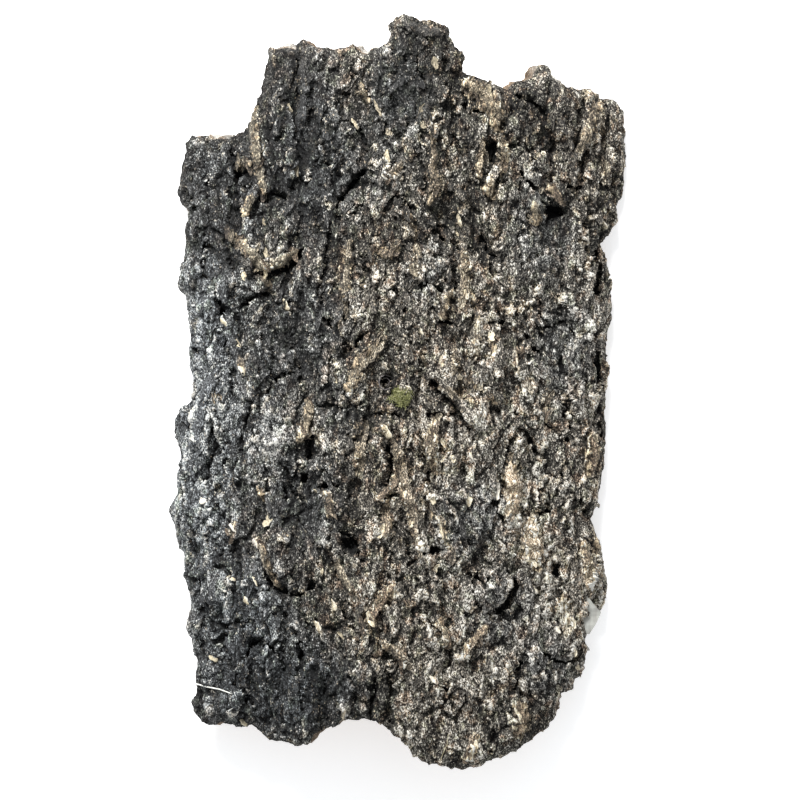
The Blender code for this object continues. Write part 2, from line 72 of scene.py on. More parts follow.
# Outline of the outer face, clockwise from the top left shoulder, in pixels.
OUTLINE = [
    (185, 141), (191, 134), (197, 138), (204, 134), (209, 140), (219, 138), (229, 138), (242, 131), (249, 128),
    (252, 118), (255, 107), (260, 94), (264, 76), (268, 60), (270, 49), (279, 50), (287, 50), (296, 51),
    (298, 44), (303, 41), (309, 45), (314, 49), (334, 50), (352, 47), (358, 51), (362, 57), (367, 57),
    (371, 52), (380, 48), (388, 43), (391, 34), (389, 25), (395, 20), (404, 18), (412, 19), (418, 24),
    (431, 23), (441, 26), (448, 29), (449, 39), (454, 47), (462, 55), (461, 66), (463, 75), (475, 78),
    (489, 85), (507, 91), (517, 82), (534, 79), (536, 69), (542, 64), (548, 67), (552, 77), (561, 83),
    (571, 87), (580, 88), (592, 89), (599, 96), (613, 97), (620, 102), (625, 111), (627, 128), (625, 146),
    (626, 165), (625, 180), (624, 191), (619, 203), (616, 219), (610, 233), (599, 243), (605, 254),
    (610, 270), (613, 288), (612, 303), (614, 318), (610, 330), (607, 342), (607, 358), (609, 372),
    (606, 392), (606, 416), (607, 441), (603, 466), (600, 487), (598, 503), (590, 519), (596, 534),
    (602, 550), (605, 570), (608, 587), (606, 602), (599, 612), (590, 622), (587, 640), (585, 662),
    (581, 677), (575, 680), (574, 690), (561, 694), (558, 708), (552, 720), (543, 730), (528, 742),
    (512, 751), (495, 757), (479, 764), (463, 768), (446, 765), (428, 762), (413, 754), (407, 744),
    (398, 735), (388, 730), (382, 722), (370, 718), (356, 718), (344, 716), (334, 724), (314, 733),
    (307, 742), (297, 745), (286, 742), (275, 740), (264, 732), (252, 724), (236, 725), (219, 723),
    (206, 726), (195, 716), (190, 704), (194, 696), (195, 675), (196, 661), (190, 646), (186, 628),
    (189, 609), (188, 592), (183, 577), (184, 556), (177, 544), (173, 527), (167, 512), (171, 501),
    (176, 490), (174, 474), (179, 460), (178, 448), (172, 433), (173, 419), (181, 407), (189, 399),
    (193, 385), (188, 369), (187, 348), (189, 332), (187, 314), (184, 295), (177, 289), (175, 284),
    (180, 268), (183, 250), (184, 230), (187, 211), (180, 204), (174, 192), (178, 175), (181, 155),
]

# Fissures: half width and depth in metres, then the line of the floor in pixels.
FISSURES = [
    (0.0050, 0.0100, [(364, 174), (353, 184), (346, 196), (339, 206)]),
    (0.0055, 0.0100, [(262, 199), (272, 196), (286, 199)]),
    (0.0045, 0.0095, [(303, 251), (294, 262), (280, 271), (264, 274)]),
    (0.0035, 0.0070, [(268, 293), (256, 298), (243, 305)]),
    (0.0045, 0.0090, [(366, 332), (357, 344), (344, 356)]),
    (0.0045, 0.0080, [(299, 367), (288, 373), (276, 381)]),
    (0.0040, 0.0080, [(218, 297), (223, 312), (222, 332), (229, 350), (230, 364)]),
    (0.0040, 0.0070, [(203, 244), (201, 268), (206, 279)]),
    (0.0055, 0.0110, [(214, 424), (215, 446), (209, 468), (203, 484)]),
    (0.0035, 0.0070, [(250, 412), (244, 428), (241, 452)]),
    (0.0050, 0.0100, [(312, 424), (311, 448), (309, 466), (304, 480)]),
    (0.0040, 0.0080, [(284, 486), (289, 500)]),
    (0.0014, 0.0050, [(317, 405), (332, 406), (345, 409), (354, 403)]),
    (0.0018, 0.0060, [(374, 414), (388, 413), (404, 417)]),
    (0.0020, 0.0060, [(428, 414), (444, 415), (462, 412)]),
    (0.0050, 0.0090, [(432, 382), (443, 394), (455, 407)]),
    (0.0035, 0.0060, [(458, 416), (470, 430), (478, 444)]),
    (0.0045, 0.0090, [(519, 428), (529, 438), (536, 452), (533, 463)]),
    (0.0035, 0.0070, [(512, 436), (507, 448), (514, 461)]),
    (0.0035, 0.0080, [(525, 333), (530, 345), (538, 353)]),
    (0.0035, 0.0070, [(482, 236), (486, 249), (497, 262)]),
    (0.0050, 0.0070, [(420, 286), (431, 286), (441, 291)]),
    (0.0030, 0.0070, [(441, 322), (450, 325)]),
    (0.0030, 0.0060, [(489, 322), (503, 322)]),
    (0.0040, 0.0090, [(541, 202), (550, 206), (561, 213)]),
    (0.0040, 0.0090, [(586, 152), (582, 166), (583, 181)]),
    (0.0040, 0.0080, [(561, 179), (569, 187), (579, 188)]),
    (0.0035, 0.0070, [(565, 404), (566, 416), (569, 430)]),
    (0.0028, 0.0060, [(545, 424), (556, 431), (567, 440)]),
    (0.0030, 0.0080, [(521, 511), (534, 515), (547, 511)]),
    (0.0035, 0.0080, [(572, 493), (580, 506), (588, 519)]),
    (0.0030, 0.0060, [(493, 500), (497, 513), (506, 521)]),
    (0.0030, 0.0070, [(422, 554), (431, 549), (442, 548)]),
    (0.0075, 0.0120, [(516, 580), (507, 596), (499, 610), (488, 612), (477, 602)]),
    (0.0042, 0.0120, [(521, 663), (515, 674), (516, 687), (521, 697)]),
    (0.0040, 0.0085, [(543, 653), (556, 661), (572, 661), (580, 652)]),
    (0.0045, 0.0080, [(347, 533), (357, 545), (364, 560)]),
    (0.0035, 0.0070, [(346, 588), (343, 602), (345, 616)]),
    (0.0035, 0.0090, [(265, 572), (276, 587), (295, 594), (311, 585), (321, 567)]),
    (0.0050, 0.0090, [(243, 660), (252, 645), (264, 640), (274, 650)]),
    (0.0035, 0.0060, [(300, 633), (301, 648), (303, 666)]),
    (0.0040, 0.0070, [(376, 676), (372, 694), (371, 712)]),
    (0.0040, 0.0070, [(388, 446), (394, 466), (388, 482)]),
    (0.0035, 0.0080, [(318, 486), (327, 487), (338, 484)]),
    (0.0035, 0.0060, [(545, 327), (556, 324), (570, 323), (575, 338)]),
    (0.0035, 0.0070, [(391, 291), (399, 299), (404, 313)]),
    (0.0040, 0.0070, [(201, 578), (200, 598), (202, 620), (201, 648)]),
    (0.0035, 0.0080, [(463, 106), (470, 112), (484, 115)]),
    (0.0040, 0.0080, [(515, 96), (524, 101), (540, 109), (546, 124)]),
    (0.0035, 0.0070, [(519, 174), (528, 184), (537, 191)]),
    (0.0035, 0.0070, [(232, 150), (242, 158), (238, 183), (250, 188)]),
    (0.0030, 0.0070, [(432, 232), (445, 241), (460, 250)]),
    (0.0030, 0.0070, [(484, 588), (476, 575), (470, 589)]),
    (0.0030, 0.0060, [(441, 684), (449, 692), (457, 698)]),
    (0.0030, 0.0060, [(420, 611), (434, 619), (444, 640)]),
    (0.0035, 0.0060, [(596, 250), (601, 268), (598, 292)]),
    (0.0030, 0.0070, [(598, 352), (600, 378), (599, 408), (602, 434)]),
    (0.0035, 0.0060, [(330, 232), (324, 262), (322, 300), (331, 330)]),
    (0.0035, 0.0060, [(385, 212), (396, 196), (415, 214)]),
]

# Ridges and curled lips: half width and height in metres, then the line of the crest in pixels.
RIDGES = [
    (0.0040, 0.0055, [(432, 138), (434, 158), (431, 172), (438, 187), (430, 205)]),
    (0.0050, 0.0060, [(257, 106), (254, 128), (257, 158), (261, 180), (266, 194)]),
    (0.0035, 0.0060, [(237, 172), (243, 165), (252, 163)]),
    (0.0040, 0.0060, [(257, 192), (250, 203), (245, 216)]),
    (0.0050, 0.0050, [(231, 236), (246, 248), (262, 266), (280, 263), (297, 252)]),
    (0.0040, 0.0050, [(258, 276), (266, 286), (272, 292)]),
    (0.0050, 0.0045, [(462, 248), (465, 274), (462, 308)]),
    (0.0040, 0.0055, [(452, 292), (444, 303), (443, 317)]),
    (0.0045, 0.0050, [(404, 164), (392, 174), (383, 184)]),
    (0.0030, 0.0045, [(360, 86), (364, 97), (369, 106)]),
    (0.0045, 0.0045, [(351, 240), (348, 272), (345, 300), (347, 320)]),
    (0.0065, 0.0060, [(386, 336), (374, 352), (358, 367), (349, 388)]),
    (0.0050, 0.0060, [(382, 422), (392, 438), (401, 462), (406, 488), (414, 518), (417, 546)]),
    (0.0045, 0.0060, [(375, 500), (386, 491), (398, 478)]),
    (0.0035, 0.0050, [(262, 540), (265, 560), (273, 577), (282, 589)]),
    (0.0040, 0.0060, [(334, 556), (343, 574), (353, 592)]),
    (0.0060, 0.0045, [(311, 402), (306, 420), (300, 442)]),
    (0.0070, 0.0040, [(262, 428), (272, 444), (279, 462)]),
    (0.0080, 0.0045, [(512, 460), (513, 486), (514, 512)]),
    (0.0090, 0.0045, [(530, 520), (532, 545), (536, 566)]),
    (0.0060, 0.0045, [(582, 543), (589, 565), (590, 590)]),
    (0.0040, 0.0060, [(437, 618), (445, 630), (450, 648)]),
    (0.0040, 0.0060, [(485, 624), (473, 640), (461, 658)]),
    (0.0035, 0.0040, [(462, 668), (446, 680)]),
    (0.0060, 0.0050, [(392, 584), (378, 602), (368, 622)]),
    (0.0050, 0.0060, [(380, 640), (395, 648), (408, 664), (417, 680)]),
    (0.0070, 0.0050, [(516, 700), (519, 718), (514, 736)]),
    (0.0040, 0.0040, [(476, 732), (468, 750), (463, 762)]),
    (0.0075, 0.0060, [(465, 84), (480, 99), (493, 112), (497, 128)]),
    (0.0040, 0.0060, [(482, 142), (479, 160), (477, 176)]),
    (0.0040, 0.0060, [(501, 141), (506, 156)]),
    (0.0040, 0.0050, [(490, 198), (490, 181), (502, 166)]),
    (0.0045, 0.0065, [(544, 192), (556, 195), (564, 206)]),
    (0.0035, 0.0060, [(535, 200), (534, 222)]),
    (0.0050, 0.0055, [(600, 98), (592, 120), (585, 142), (574, 158), (572, 178)]),
    (0.0045, 0.0040, [(456, 345), (453, 366), (452, 386)]),
    (0.0045, 0.0045, [(434, 376), (448, 390), (463, 408), (474, 426)]),
    (0.0055, 0.0045, [(590, 424), (594, 450), (592, 478)]),
    (0.0055, 0.0035, [(438, 414), (431, 444), (435, 474)]),
    (0.0060, 0.0040, [(366, 420), (361, 446), (362, 472)]),
    (0.0050, 0.0045, [(328, 492), (332, 516)]),
    (0.0050, 0.0045, [(384, 502), (386, 532)]),
    (0.0040, 0.0035, [(260, 486), (266, 504)]),
    (0.0040, 0.0040, [(238, 520), (230, 544)]),
    (0.0055, 0.0035, [(226, 330), (240, 360), (243, 384), (250, 400)]),
    (0.0060, 0.0050, [(218, 366), (205, 392), (198, 424), (190, 452)]),
    (0.0045, 0.0050, [(400, 240), (388, 256), (378, 252)]),
    (0.0050, 0.0040, [(296, 140), (302, 118), (305, 84), (303, 48)]),
    (0.0060, 0.0045, [(402, 26), (420, 34), (444, 36)]),
    (0.0040, 0.0040, [(598, 262), (588, 290), (586, 304)]),
    (0.0040, 0.0045, [(566, 262), (570, 278)]),
    (0.0050, 0.0040, [(214, 560), (205, 574), (204, 590)]),
    (0.0045, 0.0045, [(212, 582), (210, 600), (222, 606)]),
    (0.0050, 0.0045, [(186, 508), (196, 500), (208, 498)]),
]

# Raised plates: half axes and height in metres, then the centre in pixels.
PLATES = [
    (0.0225, 0.0280, 0.0060, (292, 557)),
    (0.0130, 0.0190, 0.0065, (492, 588)),
    (0.0260, 0.0150, 0.0035, (262, 252)),
    (0.0075, 0.0080, 0.0060, (521, 447)),
    (0.0200, 0.0160, 0.0035, (532, 263)),
    (0.0190, 0.0150, 0.0030, (432, 188)),
    (0.0200, 0.0180, 0.0040, (366, 205)),
    (0.0180, 0.0150, 0.0035, (236, 288)),
    (0.0120, 0.0160, 0.0040, (547, 676)),
    (0.0150, 0.0180, 0.0035, (520, 132)),
    (0.0150, 0.0220, 0.0035, (566, 122)),
    (0.0090, 0.0140, 0.0045, (190, 520)),
    (0.0110, 0.0120, 0.0040, (215, 592)),
    (0.0240, 0.0220, 0.0040, (296, 712)),
    (0.0160, 0.0160, 0.0035, (452, 686)),
    (0.0200, 0.0120, 0.0035, (226, 704)),
]

# Knot holes, beetle holes and pockets: half axes and depth in metres, then the centre in pixels.
HOLES = [
    (0.0046, 0.0046, 0.0140, (386, 382)),
    (0.0036, 0.0028, 0.0100, (413, 562)),
    (0.0045, 0.0024, 0.0080, (196, 350)),
    (0.0050, 0.0050, 0.0100, (556, 571)),
    (0.0052, 0.0040, 0.0060, (494, 412)),
    (0.0024, 0.0022, 0.0060, (377, 611)),
    (0.0060, 0.0110, 0.0130, (491, 153)),
    (0.0085, 0.0070, 0.0100, (550, 213)),
    (0.0060, 0.0050, 0.0080, (247, 174)),
    (0.0050, 0.0070, 0.0080, (352, 545)),
]

# Where the paler inner layers reach past the dark outer face: reach and half length in metres,
# then the place on the outline in pixels.
INNER_LEDGES = [
    (0.0030, 0.0090, (215, 139)),
    (0.0025, 0.0080, (284, 49)),
    (0.0040, 0.0060, (361, 55)),
    (0.0040, 0.0090, (560, 82)),
    (0.0070, 0.0150, (593, 616)),
]
RESTING_CORNERS = [(174, 192), (167, 512), (626, 146), (608, 590)]

# Where the dark crust has come off and the tan cork under it shows: half width in metres, strength
# from 0 to 1, then the line in pixels.
STRIPPED = [
    (0.0090, 0.90, [(467, 84), (480, 98), (492, 111), (499, 130)]),
    (0.0035, 1.00, [(485, 143), (480, 160), (478, 178)]),
    (0.0040, 0.80, [(502, 140), (506, 158), (501, 178)]),
    (0.0045, 1.00, [(488, 178), (491, 200)]),
    (0.0045, 0.80, [(544, 190), (555, 194), (564, 205)]),
    (0.0035, 0.80, [(534, 203), (535, 224)]),
    (0.0045, 0.65, [(598, 99), (592, 120), (585, 140), (577, 152)]),
    (0.0040, 0.75, [(432, 138), (434, 160), (432, 172), (438, 188), (430, 205)]),
    (0.0050, 0.75, [(257, 104), (254, 128), (257, 158), (261, 180), (266, 194)]),
    (0.0035, 0.80, [(237, 172), (243, 165), (252, 163)]),
    (0.0035, 0.75, [(254, 196), (249, 206), (245, 217)]),
    (0.0060, 0.70, [(229, 234), (244, 246), (262, 268), (281, 264), (297, 252)]),
    (0.0035, 0.65, [(262, 277), (268, 286), (273, 293)]),
    (0.0045, 0.70, [(462, 252), (465, 280), (461, 312)]),
    (0.0035, 0.95, [(452, 292), (443, 316)]),
    (0.0030, 0.70, [(403, 165), (385, 182)]),
    (0.0030, 0.80, [(360, 86), (369, 106)]),
    (0.0050, 0.55, [(350, 240), (348, 275), (344, 300), (346, 320)]),
    (0.0065, 0.65, [(386, 336), (371, 354), (356, 369), (349, 388)]),
    (0.0045, 0.60, [(384, 424), (392, 440), (401, 462), (406, 486), (413, 516), (417, 546)]),
    (0.0040, 0.70, [(375, 500), (386, 491), (398, 478)]),
    (0.0035, 0.75, [(262, 540), (266, 560), (275, 580), (283, 590)]),
    (0.0035, 0.75, [(335, 558), (345, 577), (353, 592)]),
    (0.0060, 0.85, [(310, 404), (307, 424), (300, 442)]),
    (0.0085, 0.85, [(513, 458), (513, 486), (514, 514)]),
    (0.0100, 0.80, [(531, 518), (532, 545), (536, 566)]),
    (0.0060, 0.80, [(583, 543), (590, 568), (590, 592)]),
    (0.0040, 0.80, [(438, 618), (446, 631), (450, 646)]),
    (0.0035, 0.85, [(486, 624), (472, 640), (462, 656)]),
    (0.0080, 0.75, [(392, 584), (380, 602), (366, 622)]),
    (0.0045, 0.60, [(382, 640), (397, 648), (411, 667)]),
    (0.0070, 0.90, [(519, 702), (522, 718), (517, 734)]),
    (0.0040, 0.70, [(477, 732), (470, 748), (463, 763)]),
    (0.0035, 0.80, [(490, 338), (492, 358)]),
    (0.0040, 0.90, [(490, 392), (496, 404)]),
    (0.0035, 0.70, [(453, 352), (455, 378)]),
    (0.0080, 0.70, [(590, 432), (592, 456), (588, 476)]),
    (0.0065, 0.65, [(436, 416), (430, 448), (435, 474)]),
    (0.0065, 0.60, [(364, 420), (360, 450), (362, 474)]),
    (0.0045, 0.70, [(328, 492), (332, 516)]),
    (0.0050, 0.70, [(385, 502), (386, 532)]),
    (0.0035, 0.65, [(260, 488), (266, 502)]),
    (0.0030, 0.65, [(234, 522), (230, 546)]),
    (0.0045, 0.60, [(448, 388), (472, 402)]),
    (0.0040, 0.60, [(468, 378), (482, 392)]),
    (0.0045, 0.60, [(378, 252), (390, 256), (400, 240)]),
    (0.0050, 0.55, [(560, 596), (566, 616), (562, 640)]),
    (0.0055, 0.55, [(598, 520), (596, 560)]),
    (0.0045, 0.50, [(470, 290), (478, 330), (474, 360)]),
    (0.0050, 0.45, [(418, 500), (440, 520), (452, 556)]),
    (0.0045, 0.50, [(545, 388), (548, 424)]),
    (0.0040, 0.50, [(520, 340), (516, 380)]),
    (0.0040, 0.55, [(240, 356), (243, 372)]),
    (0.0040, 0.55, [(218, 394), (217, 404)]),
    (0.0040, 0.55, [(410, 216), (416, 250), (412, 280)]),
    (0.0050, 0.45, [(600, 110), (606, 150), (602, 190)]),
]

# Broad areas of one tone: half axes in metres, strength and the centre in pixels. Sooted bark is
# charcoal, mould is pale blue-grey, and brown bark is where the crust is thin.
SOOTED = [
    (0.050, 0.260, 1.00, (200, 430)), (0.050, 0.070, 0.80, (225, 200)),
    (0.062, 0.100, 1.00, (238, 640)), (0.052, 0.120, 0.75, (244, 400)), (0.048, 0.090, 0.80, (306, 150)),
    (0.046, 0.060, 0.70, (292, 330)), (0.060, 0.050, 1.00, (292, 690)), (0.035, 0.080, 0.60, (205, 240)),
    (0.034, 0.050, 0.70, (402, 90)), (0.030, 0.045, 0.55, (540, 232)), (0.040, 0.060, 0.75, (294, 500)),
    (0.030, 0.050, 0.55, (565, 350)), (0.028, 0.030, 0.60, (548, 668)), (0.030, 0.050, 0.50, (374, 150)),
    (0.032, 0.036, 0.60, (470, 520)), (0.030, 0.036, 0.50, (508, 610)), (0.030, 0.030, 0.50, (330, 410)),
]
MOULDED = [
    (0.013, 0.022, 1.00, (274, 442)), (0.030, 0.050, 0.60, (212, 420)), (0.018, 0.030, 0.50, (246, 300)),
    (0.020, 0.028, 0.45, (430, 270)), (0.015, 0.040, 0.40, (205, 640)), (0.022, 0.014, 0.45, (300, 640)),
    (0.030, 0.020, 0.40, (206, 155)),
]
BROWNED = [
    (0.022, 0.032, 1.00, (352, 92)), (0.020, 0.022, 0.90, (216, 206)), (0.026, 0.036, 0.80, (292, 557)),
    (0.070, 0.090, 0.80, (545, 600)), (0.060, 0.080, 0.70, (420, 470)), (0.050, 0.100, 0.60, (470, 320)),
    (0.050, 0.050, 0.60, (400, 620)), (0.040, 0.100, 0.55, (590, 420)), (0.040, 0.060, 0.50, (590, 160)),
    (0.050, 0.040, 0.60, (450, 700)), (0.040, 0.060, 0.45, (370, 270)),
]

# Areas paler or darker than their tone alone would make them, in the same form: a strength of 1 is a little under one
# doubling or halving of the light. The same values also carry the painted shade of the holes, added below.
PALED = [
    (0.075, 0.190, 1.00, (520, 490)), (0.055, 0.060, 1.30, (555, 600)), (0.050, 0.050, 1.00, (445, 700)),
    (0.026, 0.120, 0.90, (198, 430)), (0.030, 0.050, 1.90, (215, 505)), (0.028, 0.060, 2.30, (508, 500)),
    (0.040, 0.050, 0.45, (460, 320)), (0.030, 0.030, 1.60, (533, 540)), (0.020, 0.060, 0.60, (240, 420)),
    (0.030, 0.090, 0.60, (588, 340)), (0.030, 0.040, 0.50, (400, 580)), (0.030, 0.040, 0.90, (505, 430)),
    (0.014, 0.024, 2.20, (272, 441)), (0.010, 0.018, 1.20, (430, 268)),
]
DARKENED = [
    (0.038, 0.115, 2.20, (290, 120)), (0.040, 0.060, 1.00, (350, 110)), (0.036, 0.070, 2.10, (428, 72)),
    (0.034, 0.050, 1.20, (438, 205)), (0.042, 0.060, 1.60, (212, 175)), (0.048, 0.110, 0.60, (300, 290)),
    (0.026, 0.160, 0.60, (325, 450)), (0.030, 0.060, 1.00, (300, 520)), (0.060, 0.040, 1.70, (530, 116)),
    (0.045, 0.050, 0.30, (520, 215)), (0.090, 0.055, 1.35, (270, 700)), (0.020, 0.020, 0.90, (385, 378)),
    (0.020, 0.026, 0.60, (506, 604)), (0.030, 0.040, 0.60, (345, 660)), (0.020, 0.040, 0.60, (455, 340)),
    (0.045, 0.040, 1.20, (440, 130)), (0.038, 0.045, 1.20, (292, 208)), (0.034, 0.045, 0.80, (368, 212)),
    (0.034, 0.045, 0.90, (368, 412)), (0.030, 0.045, 0.60, (440, 408)), (0.028, 0.050, 0.70, (582, 505)),
    (0.030, 0.036, 0.90, (370, 708)), (0.032, 0.040, 1.00, (515, 700)), (0.026, 0.040, 0.60, (545, 310)),
]

# Mesh spacing in metres, and the jitter of its grid as a share of the spacing.
RIM_STEP = 0.00180
OUTER_STEP = 0.00190
INNER_STEP = 0.0092
GRID_JITTER = 0.22

# Where the rings of the rim lie, from 0 at the outer face to 1 at the inner one, and the height of
# the teeth of broken bark along the outline, at two sizes.
RIM_RINGS = (0.12, 0.30, 0.49, 0.68, 0.86)
COARSE_TEETH, FINE_TEETH = 0.0016, 0.0008


def place(pixel):
    """A pixel of the photograph as a place in plan, in metres."""
    column, row = pixel
    return np.array([column - (LEFT_COLUMN + RIGHT_COLUMN) / 2, (TOP_ROW + BOTTOM_ROW) / 2 - row]) * PIXEL


def places(pixels):
    return np.array([place(pixel) for pixel in pixels])


def smooth(value):
    """0 to 1 with a level start and end."""
    value = np.clip(value, 0, 1)
    return value * value * (3 - 2 * value)


def wave(points, across, along, seed, octaves=1):
    """Noise between about -1 and 1, whose lumps have the two sizes given."""
    return np.array([
        noise.fractal((x / across, y / along, seed), 1.0, 2.0, octaves, noise_basis="PERLIN_ORIGINAL")
        for x, y in points
    ])


def shingles(points, across, along, seed, tilt):
    """Plates of the sizes given, each tilted its own way: their height, and how near a crack each point is."""
    height, crack = np.empty(len(points)), np.empty(len(points))
    for i, (x, y) in enumerate(points):
        distances, seeds = noise.voronoi((x / across, y / along, seed))
        own = noise.cell_vector(seeds[0] * 7.3)
        lean = (x / across - seeds[0].x) * own.x + (y / along - seeds[0].y) * (own.y + 0.5)
        height[i] = own.z + tilt * lean
        crack[i] = distances[1] - distances[0]
    return height, 1 - smooth(crack / 0.16)


def spaced(line, step, closed=False):
    """Points along a line at about the step given."""
    line = np.vstack([line, line[:1]]) if closed else line
    lengths = np.linalg.norm(np.diff(line, axis=0), axis=1)
    along = np.concatenate([[0], np.cumsum(lengths)])
    count = max(2, round(along[-1] / step))
    wanted = np.linspace(0, along[-1], count, endpoint=not closed)
    return np.stack([np.interp(wanted, along, line[:, k]) for k in range(2)], axis=1)


def distance_along(points, line):
    """Distance of each point to a line, and how far along it the nearest place is, from 0 to 1."""
    lengths = np.linalg.norm(np.diff(line, axis=0), axis=1)
    starts = np.concatenate([[0], np.cumsum(lengths)[:-1]])
    nearest, share = np.full(len(points), np.inf), np.zeros(len(points))
    for start, end, length, before in zip(line[:-1], line[1:], lengths, starts):
        t = np.clip((points - start) @ (end - start) / length**2, 0, 1)
        distance = np.linalg.norm(points - start - t[:, None] * (end - start), axis=1)
        closer = distance < nearest
        nearest[closer] = distance[closer]
        share[closer] = ((before + t * length) / lengths.sum())[closer]
    return nearest, share


def close_to(points, low, high, margin):
    """Which points lie in a box of the plan, or within the margin of it."""
    return np.flatnonzero(((points > low - margin) & (points < high + margin)).all(axis=1))


def stroke(points, half_width, pixels):
    """The points by a line, and a weight: 1 on the line, falling to 0 at its sides and narrowing to its ends."""
    line = places(pixels)
    near = close_to(points, line.min(axis=0), line.max(axis=0), half_width)
    distance, share = distance_along(points[near], line)
    taper = 0.35 + 0.65 * np.sqrt(np.clip(4 * share * (1 - share), 0, 1))
    return near, smooth(1 - distance / (half_width * taper))


def oval(points, half_x, half_y, pixel):
    """The points by an oval, and how far out each is: 0 at its centre and 1 at its edge."""
    centre, half = place(pixel), np.array([half_x, half_y])
    near = close_to(points, centre - half, centre + half, 0.3 * max(half))
    return near, np.linalg.norm((points[near] - centre) / half, axis=1)


def frayed_by(points):
    """The two wanderings that keep cracks and edges from running straight."""
    bend = np.stack([wave(points, 0.070, 0.110, 3.1, 2), wave(points, 0.050, 0.060, 6.4, 2)], axis=1)
    fray = np.stack([wave(points, 0.011, 0.014, 8.2, 2), wave(points, 0.012, 0.012, 12.9, 2)], axis=1)
    return bend, fray


def outer_relief(points, bend, fray):
    """Height of the outer face over the round trunk, before its edge is rounded."""
    bent = points + 0.012 * bend

    # Ribs along the grain with furrows between them, broken into tilted plates.
    ribs = smooth(np.abs(wave(bent, 0.038, 0.190, 7.7, 2)) / 0.30)
    furrows = 1 - np.clip(np.abs(wave(bent + 0.003 * fray, 0.030, 0.110, 27.7, 2)) / 0.12, 0, 1)
    plates, cracks = shingles(bent + 0.005 * fray, 0.019, 0.038, 2.2, 1.3)
    crumble = np.abs(fray[:, 0]) + np.abs(fray[:, 1]) - 0.4
    relief = 0.0070 * (ribs - 0.6) + 0.0024 * plates + 0.0014 * crumble
    relief -= 0.0030 * smooth(furrows) + 0.0016 * cracks

    # The landmarks of this one slab, with edges as frayed as the rest.
    frayed = points + 0.0035 * fray
    for half_x, half_y, height, centre in PLATES:
        near, reach = oval(frayed, half_x, half_y, centre)
        relief[near] += height * smooth((1 - reach) / 0.30) * (1 - 0.35 * np.clip(reach, 0, 1) ** 2)
    for half_width, height, line in RIDGES:
        near, weight = stroke(frayed, half_width * 1.25, line)
        relief[near] += height * weight
    for half_width, depth, line in FISSURES:
        near, weight = stroke(frayed, half_width * 1.25, line)
        relief[near] -= depth * weight
    for half_x, half_y, depth, centre in HOLES:
        near, reach = oval(frayed, half_x, half_y, centre)
        relief[near] -= depth * smooth((1.25 - reach) / 0.55)
    return np.clip(relief, RELIEF_LOW, RELIEF_HIGH)


def blotches(points, areas):
    """How strongly each point belongs to a list of soft-edged areas."""
    strength = np.zeros(len(points))
    for half_x, half_y, most, centre in areas:
        reach = np.linalg.norm((points - place(centre)) / (half_x, half_y), axis=1)
        strength = np.maximum(strength, most * smooth(1.35 - reach))
    return strength


def stripped_by(points, fray):
    """How far the crust has come off at each point, from the list of bared lines."""
    bared = np.zeros(len(points))
    for half_width, strength, line in STRIPPED:
        near, weight = stroke(points + 0.0030 * fray, half_width * 1.5, line)
        bared[near] = np.maximum(bared[near], strength * weight)
    return bared


def tree_of(points):
    tree = kdtree.KDTree(len(points))
    for i, (x, y) in enumerate(points):
        tree.insert((x, y, 0), i)
    tree.balance()
    return tree


def clear_of(tree, points):
    """Distance of each point to the nearest one in the tree."""
    return np.array([tree.find((x, y, 0))[2] for x, y in points])


def nearness(points, pixel, radius):
    """1 at the pixel's place, falling softly to 0 round it."""
    return np.exp(-((np.linalg.norm(points - place(pixel), axis=1) / radius) ** 2))


def inside(points, loop):
    """Whether each point lies inside the loop."""
    x, y = points[:, 0], points[:, 1]
    found = np.zeros(len(points), bool)
    for (x0, y0), (x1, y1) in zip(loop, np.roll(loop, -1, axis=0)):
        if y0 != y1:
            found ^= ((y0 > y) != (y1 > y)) & (x < (x1 - x0) * (y - y0) / (y1 - y0) + x0)
    return found


def filling(loop, step, seed):
    """A jittered triangular grid inside the loop, clear of it."""
    half_width, half_length = loop.max(axis=0)
    rows = np.arange(-half_length, half_length, step * math.sqrt(0.75))
    columns = np.arange(-half_width, half_width, step)
    grid = np.array([(x + (i % 2) * step / 2, y) for i, y in enumerate(rows) for x in columns])
    grid += np.random.default_rng(seed).uniform(-GRID_JITTER, GRID_JITTER, grid.shape) * step
    grid = grid[inside(grid, loop)]
    return grid[clear_of(tree_of(loop), grid) > 0.6 * RIM_STEP]


def triangles_between(loop, points):
    """Triangles that join the loop's points, which come first, and the points inside it."""
    plan = np.concatenate([loop, points])
    edges = [(i, (i + 1) % len(loop)) for i in range(len(loop))]
    _, _, faces, *_ = geometry.delaunay_2d_cdt([Vector(point) for point in plan], edges, [], 0, 1e-9, False)
    faces = np.array(faces)
    return faces[inside(plan[faces].mean(axis=1), loop)]


def settled(points, inner_rim):
    """The slab lowered, tilted and twisted the little that brings its four lowest corners to the ground."""
    rows, lows = [], []
    for corner in RESTING_CORNERS:
        by_corner = inner_rim[np.argmin(np.linalg.norm(inner_rim[:, :2] - place(corner), axis=1)), :2]
        near = inner_rim[np.linalg.norm(inner_rim[:, :2] - by_corner, axis=1) < CORNER_REACH]
        x, y, z = near[np.argmin(near[:, 2])]
        rows.append([1, x, y, x * y])
        lows.append(z + CORNER_WEAR)
    drop = np.linalg.solve(rows, lows)
    x, y, z = points.T
    z = z - (drop[0] + drop[1] * x + drop[2] * y + drop[3] * x * y)
    return np.column_stack([x, y, np.where(z < LEAST_CLEARANCE, 0, z)])


# The rim: the outline, anticlockwise, with the teeth of broken bark.
rim = spaced(places(OUTLINE), RIM_STEP, closed=True)
teeth = [
    COARSE_TEETH * wave(rim, 0.011, 0.011, seed, 2) + FINE_TEETH * wave(rim, 0.0042, 0.0042, seed + 5, 2)
    for seed in (31.0, 47.0)
]
rim = (rim + np.stack(teeth, axis=1))[::-1]
rim -= (rim.max(axis=0) + rim.min(axis=0)) / 2
rim_count = len(rim)
rim_tree = tree_of(spaced(rim, 0.0010, closed=True))

